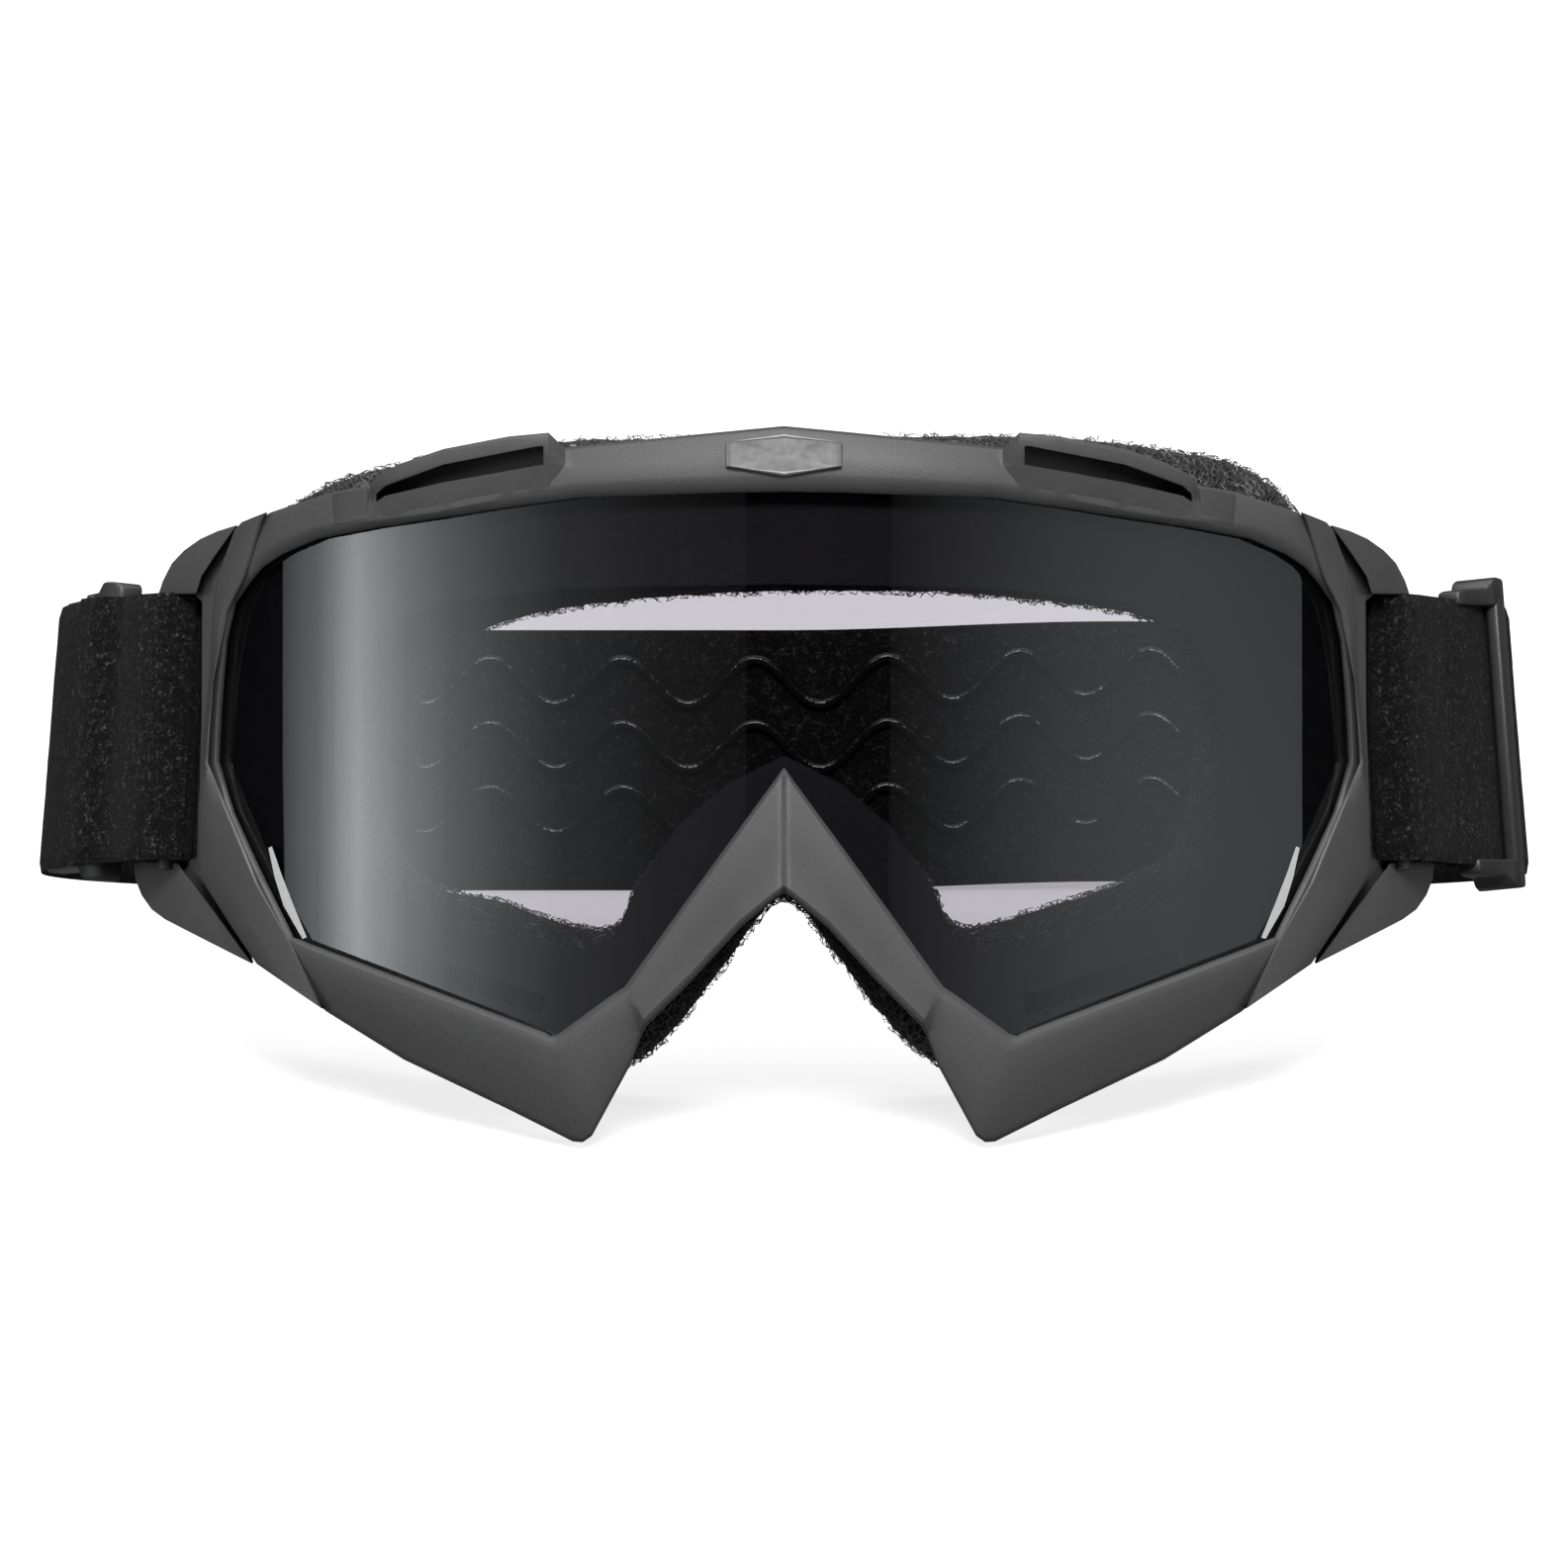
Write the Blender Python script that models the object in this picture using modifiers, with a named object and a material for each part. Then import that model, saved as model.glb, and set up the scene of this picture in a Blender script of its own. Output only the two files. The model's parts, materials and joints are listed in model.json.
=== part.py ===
"""Motocross goggles, standing on a table.

The goggles are modelled upright: X to the right, Y from the lens towards the back of the
head, Z up, and Z = 0 at the two lower tips of the frame.  An empty then leans them back
until the tips and the rear strap's lower edge stand on the ground, Z = 0.
"""
import math

import bmesh
import bpy
from mathutils import Matrix, Vector

MM = 0.001
GAP = 0.3 * MM

# Wrap: front view outlines are bent back round a cylinder of this radius.
WRAP_RADIUS = 105 * MM
SLICE_ANGLE = math.radians(4)

# Depths behind the frame's front surface.
FRAME_DEPTH = 9 * MM
RIM_DEPTH = 3 * MM
LENS_THICKNESS = 1.5 * MM
LENS_BITE = 2.5 * MM
EAR_FRONT = 1.5 * MM
EAR_BACK = 11 * MM
INNER_FRAME_BACK = 20 * MM
FOAM_THICKNESS = 14 * MM
FLEECE_THICKNESS = 1.8 * MM

# Front outlines in millimetres (x, z), right half, from the top centre to the bottom centre.
FRAME_OUTER = [(0, 99.9), (31.5, 96.9), (33, 99.1), (56.6, 93.4), (57.7, 92), (63.6, 91), (68.7, 89.4),
               (72, 88.4), (76.2, 86.6), (79.3, 79.1), (80.2, 66), (81, 53), (82.6, 37.6), (74.5, 25),
               (64.4, 18.1), (53.3, 11.4), (38.9, 4.7), (30.4, 0.8), (28.7, 0), (27, 0.7), (21.6, 10.7),
               (18.8, 16.5), (12.8, 22.8), (6.1, 30.1), (0, 34.8)]
LENS_WINDOW = [(0, 90.8), (28.7, 90), (49, 87.1), (63.1, 85.1), (69.8, 82.8), (75.2, 78.5), (77.2, 73.3),
               (77.8, 66.1), (78.2, 53.4), (76.2, 43.3), (69, 28.4), (32.2, 14.8), (22.3, 21.8), (0, 52.3)]
INNER_OUTER = [(0, 96.5), (31, 95), (33.2, 97.8), (56, 92.4), (57.4, 90.2), (67, 87.6), (73, 83.5), (76.5, 74),
               (77.5, 53), (75.5, 40), (68, 26.5), (53, 16), (38, 8.5), (30.5, 5), (26, 8), (21.8, 16),
               (13.5, 26.5), (6.5, 34), (0, 39)]
INNER_OPENING = [(0, 78), (30, 77.5), (48, 75.5), (57, 71.5), (62, 63), (62.5, 50), (59, 38), (52, 32),
                 (40, 28.5), (28, 26.5), (23.5, 29), (20.5, 36), (15, 44), (8, 50), (0, 54)]
FOAM_OUTER = [(0, 98.5), (16, 98.7), (33, 98.7), (56, 96.5), (63, 95.2), (67.5, 92.8), (71.8, 88.5),
              (75, 80), (76.5, 66), (76.5, 50), (74.5, 38), (66, 27), (50, 18), (38, 12), (31, 9.5),
              (25.5, 9), (22, 10.2), (16.5, 14.2), (8, 25), (2.3, 33), (0, 33.8)]
FOAM_OPENING = [(0, 76.3), (21, 75.6), (33, 75.4), (45, 73.4), (53, 69), (57.5, 61), (58, 50), (55, 41),
                (47.8, 34.8), (40.2, 32), (30, 29.4), (25.5, 30.2), (21, 36), (13, 45), (6, 50.3), (0, 52.5)]
EAR = [(77.2, 86.3), (81.3, 84.7), (84, 82.2), (86.7, 77.6), (81.5, 77.6), (83.2, 38.2), (90.4, 38.2),
       (88.7, 34.3), (86.2, 31.9), (75.3, 25.1), (83.1, 37.6), (81.3, 53), (80.5, 66), (79.6, 79.3)]
SCOOP = [(32.4, 98.9), (56.3, 93.2), (57.2, 90.4), (32, 95.2)]
SCOOP_MOUTH = [(33.4, 97.5), (56, 91.9), (56.3, 90.7), (33.2, 95.5)]
SCOOP_RISE = 3 * MM
BADGE = [(0, 99.1), (8.2, 97.6), (8.2, 94.4), (0, 93)]
BADGE_RISE = 0.8 * MM
BADGE_DEPTH = 1.5 * MM
UPPER_VENT = [(34.2, 96.1), (55.4, 91), (55, 88.6), (34.2, 93.4)]
LOWER_VENT = [(33.2, 20.4), (55.2, 27), (56, 24.2), (34, 17.6)]
VENT_FOAM_FRONT = FRAME_DEPTH + 4 * MM
VENT_FOAM_THICKNESS = 3 * MM

# Strap: side arcs of constant radius about an upright axis on each side, and a flat rear band.
STRAP_WIDTH = 37.4 * MM
STRAP_THICKNESS = 1.3 * MM
SIDE_RADIUS = 58 * MM
SIDE_CENTRE = Vector((47 * MM, 93 * MM))
EAR_HEIGHT = 58 * MM
STRAP_SLOPE = math.radians(2.6)
FLARE = math.tan(math.radians(4.5))
BAR_ANGLE = 46.5
BAR_ORBIT = 57.5 * MM
BAR_RADIUS = 1.1 * MM
LOOP_RADIUS = 3.15 * MM
LOOP_END_ANGLE = 35.0
LAP_END_ANGLE = 41.8

# Sliders: three bars between two rails; the middle bar is outside the strap, the others inside.
RIGHT_SLIDER_ANGLE = 19.5
LEFT_SLIDER_ANGLE = 23.0
BAR_PITCH = 9.5 * MM
SLIDER_BAR_RADIUS = 0.9 * MM
SLIDER_RAIL_HEIGHT = 2.0 * MM
SLIDER_RAIL_DEPTH = 3.6 * MM
LAYER_GAP = 0.35 * MM

# Silicone grip beads on the rear band's inner face.
WAVE_PERIOD = 19.4 * MM
WAVE_HEIGHT = 3.3 * MM
WAVE_COUNT = 6
WAVE_POINTS = 10
WAVE_ROWS = {"grip_wave_top": 11.4, "grip_wave_middle": 2.0, "grip_wave_bottom": -7.4}
BEAD_RADIUS = 0.7 * MM
BEAD_GAP = 0.2 * MM


def clear_scene():
    for item in list(bpy.data.objects):
        bpy.data.objects.remove(item, do_unlink=True)


def new_collection(name):
    collection = bpy.data.collections.new(name)
    bpy.context.scene.collection.children.link(collection)
    return collection


def material(name, colour, roughness, metallic=0.0, alpha=1.0):
    made = bpy.data.materials.new(name)
    made.use_nodes = True
    shader = made.node_tree.nodes["Principled BSDF"]
    shader.inputs["Base Color"].default_value = (*colour, 1.0)
    shader.inputs["Roughness"].default_value = roughness
    shader.inputs["Metallic"].default_value = metallic
    shader.inputs["Alpha"].default_value = alpha
    return made


def wrap_depth(x):
    """Distance the wrapped front surface lies behind its centre at x."""
    return WRAP_RADIUS - math.sqrt(WRAP_RADIUS ** 2 - x ** 2)


def mirrored(half):
    """Close a right half outline (millimetres) round the middle plane."""
    left = [(-x, z) for x, z in reversed(half) if x > 0]
    return [(x * MM, z * MM) for x, z in half + left]


def on_side(outline, side):
    """A right side outline in metres, or its mirror image for the left side."""
    placed = [(side * x * MM, z * MM) for x, z in outline]
    return placed if side == 1 else placed[::-1]


def grown(outline, amount):
    """Offset a clockwise outline outwards by amount, with mitred corners."""
    result = []
    count = len(outline)
    for i in range(count):
        before = Vector(outline[i - 1])
        here = Vector(outline[i])
        after = Vector(outline[(i + 1) % count])
        first = (here - before).normalized()
        second = (after - here).normalized()
        normal_a = Vector((-first.y, first.x))
        normal_b = Vector((-second.y, second.x))
        mitre = normal_a + normal_b
        mitre *= 1 / max(mitre.dot(normal_a), 0.6)
        result.append(tuple(here + mitre * amount))
    return result


def evaluated_copy(item, name):
    """Replace an object by a plain welded mesh of its evaluated shape, in world space."""
    depsgraph = bpy.context.evaluated_depsgraph_get()
    mesh = bpy.data.meshes.new_from_object(item.evaluated_get(depsgraph), depsgraph=depsgraph)
    mesh.transform(item.matrix_world)
    bm = bmesh.new()
    bm.from_mesh(mesh)
    bmesh.ops.remove_doubles(bm, verts=bm.verts, dist=0.002 * MM)
    bmesh.ops.dissolve_degenerate(bm, edges=bm.edges, dist=0.002 * MM)
    bmesh.ops.recalc_face_normals(bm, faces=bm.faces)
    bm.to_mesh(mesh)
    bm.free()
    bpy.data.objects.remove(item, do_unlink=True)
    made = bpy.data.objects.new(name, mesh)
    parts.objects.link(made)
    return made


def plate(name, outlines, front, back, rounding=0.0):
    """Flat solid between two depths with a front outline and any holes, edges rounded."""
    curve = bpy.data.curves.new(name, "CURVE")
    curve.dimensions = "2D"
    curve.fill_mode = "BOTH"
    curve.extrude = (back - front) / 2 - rounding
    curve.bevel_depth = rounding
    curve.bevel_resolution = 0
    curve.offset = -rounding
    for outline in outlines:
        spline = curve.splines.new("POLY")
        spline.points.add(len(outline) - 1)
        for point, (x, z) in zip(spline.points, outline):
            point.co = (x, z, 0, 1)
        spline.use_cyclic_u = True
    item = bpy.data.objects.new(name, curve)
    parts.objects.link(item)
    item.rotation_euler = (math.radians(90), 0, 0)
    item.location = (0, (front + back) / 2, 0)
    bpy.context.view_layer.update()
    return evaluated_copy(item, name)


def combine(item, tool, operation):
    """Apply a Boolean with another solid, and remove that solid."""
    modifier = item.modifiers.new(operation.lower(), "BOOLEAN")
    modifier.operation = operation
    modifier.solver = "EXACT"
    modifier.object = tool
    name = item.name
    bpy.context.view_layer.update()
    made = evaluated_copy(item, name + "_joined")
    made.name = name
    bpy.data.objects.remove(tool, do_unlink=True)
    return made


def wrapped(item):
    """Slice a flat solid at equal angles and bend it round the wrap cylinder."""
    bm = bmesh.new()
    bm.from_mesh(item.data)
    steps = int(math.radians(60) / SLICE_ANGLE)
    for step in range(-steps, steps + 1):
        plane_x = WRAP_RADIUS * math.sin(step * SLICE_ANGLE)
        geometry = bm.verts[:] + bm.edges[:] + bm.faces[:]
        bmesh.ops.bisect_plane(bm, geom=geometry, dist=0.01 * MM, plane_co=(plane_x, 0, 0), plane_no=(1, 0, 0))
    bmesh.ops.triangulate(bm, faces=bm.faces)
    for vertex in bm.verts:
        vertex.co.y += wrap_depth(vertex.co.x)
    bm.to_mesh(item.data)
    bm.free()
    return item


def finish(item, surface, parent, smooth=40):
    item.data.materials.clear()
    item.data.materials.append(surface)
    item.data.shade_smooth()
    item.data.set_sharp_from_angle(angle=math.radians(smooth))
    item.parent = parent
    return item


def make_front_frame(surface, parent):
    """Hard outer frame: rim, lens seat behind it, and the two raised scoops on the top rail."""
    outer = mirrored(FRAME_OUTER)
    window = mirrored(LENS_WINDOW)
    frame = plate("front_frame", [outer, window], 0, FRAME_DEPTH, rounding=0.9 * MM)
    seat = plate("seat_cutter", [grown(window, LENS_BITE + GAP)], RIM_DEPTH, FRAME_DEPTH + MM)
    frame = combine(frame, seat, "DIFFERENCE")
    badge_seat = plate("badge_cutter", [grown(mirrored(BADGE), GAP)], -MM, BADGE_DEPTH)
    frame = combine(frame, badge_seat, "DIFFERENCE")
    for side in (1, -1):
        hood = plate("scoop", [on_side(SCOOP, side)], -SCOOP_RISE, FRAME_DEPTH / 2)
        frame = combine(frame, hood, "UNION")
        mouth = plate("mouth_cutter", [on_side(SCOOP_MOUTH, side)], -SCOOP_RISE - MM, FRAME_DEPTH + MM)
        frame = combine(frame, mouth, "DIFFERENCE")
    return finish(wrapped(frame), surface, parent)


def make_badge(surface, parent):
    badge = plate("badge", [mirrored(BADGE)], -BADGE_RISE, BADGE_DEPTH - GAP, rounding=0.3 * MM)
    return finish(wrapped(badge), surface, parent)


def make_lens(surface, parent):
    front = RIM_DEPTH + GAP
    lens = plate("lens", [grown(mirrored(LENS_WINDOW), LENS_BITE)], front, front + LENS_THICKNESS)
    return finish(wrapped(lens), surface, parent)


def make_inner_frame(surface, parent):
    """Soft inner frame: a lens-backing ring inside the seat and a deeper wall behind it."""
    opening = mirrored(INNER_OPENING)
    backing_front = RIM_DEPTH + 2 * GAP + LENS_THICKNESS
    ring = plate("inner_frame", [mirrored(INNER_OUTER), opening], FRAME_DEPTH + GAP, INNER_FRAME_BACK)
    seat_fit = grown(mirrored(LENS_WINDOW), LENS_BITE - 1.2 * MM)
    lip = plate("lens_backing", [seat_fit, opening], backing_front, FRAME_DEPTH + 3 * MM)
    ring = combine(ring, lip, "UNION")
    for vent in (UPPER_VENT, LOWER_VENT):
        for side in (1, -1):
            channel = plate("vent_cutter", [on_side(vent, side)], 0, INNER_FRAME_BACK + MM)
            ring = combine(ring, channel, "DIFFERENCE")
    return finish(wrapped(ring), surface, parent)


def make_ear(side, surface, parent):
    """Strap outrigger: two lugs that hold an upright bar for the strap's end loop."""
    name = "right_ear" if side == 1 else "left_ear"
    ear = wrapped(plate(name, [on_side(EAR, side)], EAR_FRONT, EAR_BACK))
    lower = strap_point(BAR_ANGLE, BAR_ORBIT, -21 * MM)
    upper = strap_point(BAR_ANGLE, BAR_ORBIT, 21 * MM)
    mirror = Matrix.Diagonal((side, 1, 1, 1))
    lower = mirror @ strap_frame_matrix() @ lower
    upper = mirror @ strap_frame_matrix() @ upper
    bar = rod("ear_bar", lower, upper, BAR_RADIUS)
    return finish(combine(ear, bar, "UNION"), surface, parent)


def rod(name, start, end, radius, sides=12):
    along = end - start
    bpy.ops.mesh.primitive_cylinder_add(vertices=sides, radius=radius, depth=along.length)
    item = bpy.context.object
    item.rotation_euler = along.to_track_quat("Z", "Y").to_euler()
    item.location = (start + end) / 2
    return adopt(item, name)


def block(name, size, location):
    bpy.ops.mesh.primitive_cube_add(size=1, location=location)
    item = bpy.context.object
    item.scale = size
    return adopt(item, name)


def adopt(item, name):
    """Move a fresh primitive into the parts collection with its transform applied."""
    for collection in list(item.users_collection):
        collection.objects.unlink(item)
    parts.objects.link(item)
    bpy.context.view_layer.update()
    return evaluated_copy(item, name)


def make_vent_foam(name, outline, side, surface, parent):
    """Foam filter strip across a vent channel of the inner frame."""
    shape = grown(on_side(outline, side), -GAP)
    name = f"{name}_{'right' if side == 1 else 'left'}"
    foam = plate(name, [shape], VENT_FOAM_FRONT, VENT_FOAM_FRONT + VENT_FOAM_THICKNESS)
    return finish(wrapped(foam), surface, parent)


def make_foam(surface, fleece_surface, parent):
    """Face foam ring on the inner frame's back and the fleece bonded to it."""
    front = INNER_FRAME_BACK + GAP
    back = front + FOAM_THICKNESS
    outer = mirrored(FOAM_OUTER)
    opening = mirrored(FOAM_OPENING)
    foam = plate("face_foam", [outer, opening], front, back, rounding=1.5 * MM)
    finish(wrapped(foam), surface, parent)
    fleece_outer = grown(outer, -1.8 * MM)
    fleece_opening = grown(opening, 1.8 * MM)
    fleece = plate("face_fleece", [fleece_outer, fleece_opening], back + GAP, back + GAP + FLEECE_THICKNESS)
    finish(wrapped(fleece), fleece_surface, parent)


def outward(angle):
    """Outward direction of the strap's right side at an angle in degrees before its widest point."""
    turned = math.radians(angle)
    return Vector((math.cos(turned), -math.sin(turned)))


def strap_point(angle, orbit, height):
    """A point by its place round the right side's arc, its orbit and its height on the band."""
    plan = SIDE_CENTRE + outward(angle) * (orbit - height * FLARE)
    return Vector((plan.x, plan.y - EAR_PIVOT_Y, height))


def strap_frame_matrix():
    """The strap's own frame: the ear bars' line, tipped down towards the back of the head."""
    return Matrix.Translation((0, EAR_PIVOT_Y, EAR_HEIGHT)) @ Matrix.Rotation(-STRAP_SLOPE, 4, "X")


EAR_PIVOT_Y = (SIDE_CENTRE + outward(BAR_ANGLE) * BAR_ORBIT).y


def ease(value):
    value = min(max(value, 0.0), 1.0)
    return value * value * (3 - 2 * value)


def band_orbit(angle):
    """Orbit of the band's middle surface: it swells over the ear bar and settles on the arc."""
    swell = BAR_ORBIT + LOOP_RADIUS - SIDE_RADIUS
    return SIDE_RADIUS + swell * ease((angle - LOOP_END_ANGLE) / (BAR_ANGLE - LOOP_END_ANGLE))


def lap_orbit(angle):
    """Orbit of the end that is lapped back inside the band behind the ear bar."""
    inside = BAR_ORBIT - LOOP_RADIUS
    pressed = band_orbit(LAP_END_ANGLE) - 2.2 * STRAP_THICKNESS
    return inside + (pressed - inside) * ease((BAR_ANGLE - angle) / (BAR_ANGLE - LAP_END_ANGLE))


def half_strap_path():
    """Plan points of the band's right half with their outward directions, lap end first."""
    path = []
    for i in range(4):
        angle = LAP_END_ANGLE + (BAR_ANGLE - LAP_END_ANGLE) * i / 4
        path.append((SIDE_CENTRE + outward(angle) * lap_orbit(angle), outward(BAR_ANGLE)))
    bar = SIDE_CENTRE + outward(BAR_ANGLE) * BAR_ORBIT
    radial = outward(BAR_ANGLE)
    forward = Vector((radial.y, -radial.x))
    for i in range(9):
        turn = math.radians(-90 + 180 * i / 8)
        path.append((bar + LOOP_RADIUS * (math.sin(turn) * radial + math.cos(turn) * forward), radial))
    for angle in (43.5, 40, 36.5, 33, 28, 22, 16, 10, 4, -4, -12, -20, -28, -36, -44, -52, -60, -68, -76, -84, -90):
        path.append((SIDE_CENTRE + outward(angle) * band_orbit(angle), outward(angle)))
    path.append((Vector((SIDE_CENTRE.x / 2, SIDE_CENTRE.y + SIDE_RADIUS)), Vector((0, 1))))
    return path


def ribbon(name, path, width, thickness, parent):
    """Band along a plan path, flared outwards towards its lower edge and solidified."""
    bm = bmesh.new()
    rows = []
    for height in (-width / 2, width / 2):
        row = []
        for place, direction in path:
            plan = place - direction * height * FLARE
            row.append(bm.verts.new((plan.x, plan.y - EAR_PIVOT_Y, height)))
        rows.append(row)
    for i in range(len(path) - 1):
        bm.faces.new((rows[0][i], rows[0][i + 1], rows[1][i + 1], rows[1][i]))
    mesh = bpy.data.meshes.new(name)
    bm.to_mesh(mesh)
    bm.free()
    item = bpy.data.objects.new(name, mesh)
    parts.objects.link(item)
    shell = item.modifiers.new("thickness", "SOLIDIFY")
    shell.thickness = thickness
    shell.offset = 0
    shell.use_even_offset = True
    item.parent = parent
    return item


def make_strap_band(surface, parent):
    right = half_strap_path()
    left = [(Vector((-place.x, place.y)), Vector((-way.x, way.y))) for place, way in reversed(right)]
    centre = [(Vector((0, SIDE_CENTRE.y + SIDE_RADIUS)), Vector((0, 1)))]
    band = ribbon("strap_band", right + centre + left, STRAP_WIDTH, STRAP_THICKNESS, parent)
    return finish(band, surface, parent)


def arc_path(angles, orbits, side):
    path = []
    for angle, orbit in zip(angles, orbits):
        way = outward(angle)
        place = SIDE_CENTRE + way * orbit
        path.append((Vector((side * place.x, place.y)), Vector((side * way.x, way.y))))
    return path


def make_loop_seam(side, surface, parent):
    """Bar tack that closes the strap's end loop, on the inside of the lapped end."""
    name = "right_loop_seam" if side == 1 else "left_loop_seam"
    thickness = 0.5 * MM
    angles = (LAP_END_ANGLE + 0.6, LAP_END_ANGLE + 2.2)
    orbits = [lap_orbit(angle) - (STRAP_THICKNESS + thickness) / 2 - 0.5 * MM for angle in angles]
    seam = ribbon(name, arc_path(angles, orbits, side), 30 * MM, thickness, parent)
    return finish(seam, surface, parent)


def make_slider(side, angle, surface, parent):
    """Three-bar slider round the band: the middle bar outside it and the two others inside."""
    name = "right_slider" if side == 1 else "left_slider"
    half_height = STRAP_WIDTH / 2 + 1.0 * MM
    sag = BAR_PITCH ** 2 / (2 * SIDE_RADIUS)
    inside = -(sag + STRAP_THICKNESS / 2 + LAYER_GAP + SLIDER_BAR_RADIUS)
    outside = STRAP_THICKNESS / 2 + LAYER_GAP + SLIDER_BAR_RADIUS
    middle = (inside + outside) / 2
    length = 2 * BAR_PITCH + 4 * MM
    item = None
    for sign in (-1, 1):
        rail_height = sign * (half_height + SLIDER_RAIL_HEIGHT / 2)
        rail = block(name, (SLIDER_RAIL_DEPTH, length, SLIDER_RAIL_HEIGHT), (middle, 0, rail_height))
        item = rail if item is None else combine(item, rail, "UNION")
    bar_end = half_height + SLIDER_RAIL_HEIGHT * 0.7
    for along, depth in ((-BAR_PITCH, inside), (0, outside), (BAR_PITCH, inside)):
        lower = Vector((depth, along, -bar_end))
        upper = Vector((depth, along, bar_end))
        item = combine(item, rod("bar", lower, upper, SLIDER_BAR_RADIUS, 8), "UNION")
    tilt = Matrix.Rotation(-math.atan(FLARE), 4, "Y")
    turn = Matrix.Rotation(math.radians(-angle), 4, "Z")
    item.data.transform(turn @ Matrix.Translation((SIDE_RADIUS, 0, 0)) @ tilt)
    if side == -1:
        item.data.transform(Matrix.Diagonal((-1, 1, 1, 1)))
        item.data.flip_normals()
    item.name = name
    return finish(item, surface, parent)


def to_arc_frame(item, side):
    """Re-centre a strap-frame ribbon's mesh on its side's arc axis."""
    item.data.transform(Matrix.Translation((-side * SIDE_CENTRE.x, EAR_PIVOT_Y - SIDE_CENTRE.y, 0)))
    return item


def make_right_tail(surface, parent):
    """Inner strap layer that runs from the ear loop's seam and is sewn round the slider's front bar."""
    bar_angle = RIGHT_SLIDER_ANGLE + math.degrees(BAR_PITCH / SIDE_RADIUS)
    pressed = SIDE_RADIUS - STRAP_THICKNESS - 1.5 * LAYER_GAP
    under_bar = SIDE_RADIUS - STRAP_THICKNESS - 2 * SLIDER_BAR_RADIUS - 2.6 * LAYER_GAP - 1.0 * MM
    angles = (40.6, 38.5, 36.5, 34.0, bar_angle + 1.6, bar_angle, bar_angle - 1.8)
    orbits = [pressed, pressed, pressed, (pressed + under_bar) / 2, under_bar, under_bar, under_bar]
    tail = ribbon("right_strap_tail", arc_path(angles, orbits, 1), STRAP_WIDTH, STRAP_THICKNESS, parent)
    return finish(to_arc_frame(tail, 1), surface, parent)


def make_left_tail(surface, parent):
    """Outer strap layer that covers the slider and is folded round its middle bar."""
    layer = STRAP_THICKNESS + LAYER_GAP
    over_bar = SIDE_RADIUS + STRAP_THICKNESS + 2 * SLIDER_BAR_RADIUS + 2 * LAYER_GAP
    angles = (41.5, 38.5, 35.5, 32.5, 29.5, 26.5, LEFT_SLIDER_ANGLE + 0.4, LEFT_SLIDER_ANGLE - 1.4,
              LEFT_SLIDER_ANGLE - 2.2)
    flat = [band_orbit(angle) + layer + 0.1 * MM for angle in angles[:3]]
    rising = [flat[-1] + (over_bar - flat[-1]) * ease(i / 3) for i in (1, 2)]
    orbits = flat + rising + [over_bar, over_bar, over_bar - 0.9 * MM, over_bar - 2.0 * MM]
    tail = ribbon("left_strap_tail", arc_path(angles, orbits, -1), STRAP_WIDTH, STRAP_THICKNESS, parent)
    return finish(to_arc_frame(tail, -1), surface, parent)


def rear_path(distance):
    """Plan point and outward direction at a signed distance along the rear band from its middle."""
    flat = SIDE_CENTRE.x
    side = math.copysign(1, distance)
    beyond = abs(distance) - flat
    if beyond <= 0:
        return Vector((distance, SIDE_CENTRE.y + SIDE_RADIUS)), Vector((0, 1))
    way = outward(math.degrees(beyond / SIDE_RADIUS) - 90)
    place = SIDE_CENTRE + way * SIDE_RADIUS
    return Vector((side * place.x, place.y)), Vector((side * way.x, way.y))


def make_grip_wave(name, row, surface, parent):
    """Wavy silicone bead printed along the rear band's inner face."""
    curve = bpy.data.curves.new(name, "CURVE")
    curve.dimensions = "3D"
    curve.bevel_depth = BEAD_RADIUS
    curve.bevel_resolution = 1
    curve.use_fill_caps = True
    spline = curve.splines.new("POLY")
    count = WAVE_COUNT * WAVE_POINTS
    spline.points.add(count)
    inset = STRAP_THICKNESS / 2 + BEAD_GAP + BEAD_RADIUS
    for i in range(count + 1):
        distance = (i / WAVE_POINTS - WAVE_COUNT / 2) * WAVE_PERIOD
        height = row + WAVE_HEIGHT * math.cos(2 * math.pi * distance / WAVE_PERIOD)
        place, way = rear_path(distance)
        plan = place - way * (height * FLARE + inset)
        spline.points[i].co = (plan.x, plan.y - EAR_PIVOT_Y, height, 1)
    item = bpy.data.objects.new(name, curve)
    parts.objects.link(item)
    bpy.context.view_layer.update()
    return finish(evaluated_copy(item, name), surface, parent)


def empty(name, parent, matrix):
    made = bpy.data.objects.new(name, None)
    parts.objects.link(made)
    made.parent = parent
    made.matrix_local = matrix
    return made


def stand_on_ground(stand):
    """Lean the goggles back on the tips and the strap, and centre them over the origin."""
    tip_depth = wrap_depth(28.7 * MM) + FRAME_DEPTH
    half_width = STRAP_WIDTH / 2
    rear = strap_frame_matrix() @ Vector((0, SIDE_CENTRE.y + SIDE_RADIUS + half_width * FLARE
                                          + STRAP_THICKNESS / 2 - EAR_PIVOT_Y, -half_width))
    lean = math.atan2(rear.z, rear.y - tip_depth)
    stand.rotation_euler = (-lean, 0, 0)
    bpy.context.view_layer.update()
    corners = []
    depsgraph = bpy.context.evaluated_depsgraph_get()
    for item in parts.objects:
        if item.type == "MESH":
            shape = item.evaluated_get(depsgraph)
            corners += [item.matrix_world @ vertex.co for vertex in shape.data.vertices]
    low = Vector([min(corner[axis] for corner in corners) for axis in range(3)])
    high = Vector([max(corner[axis] for corner in corners) for axis in range(3)])
    stand.location = (-(low.x + high.x) / 2, -(low.y + high.y) / 2, -low.z)


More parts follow.
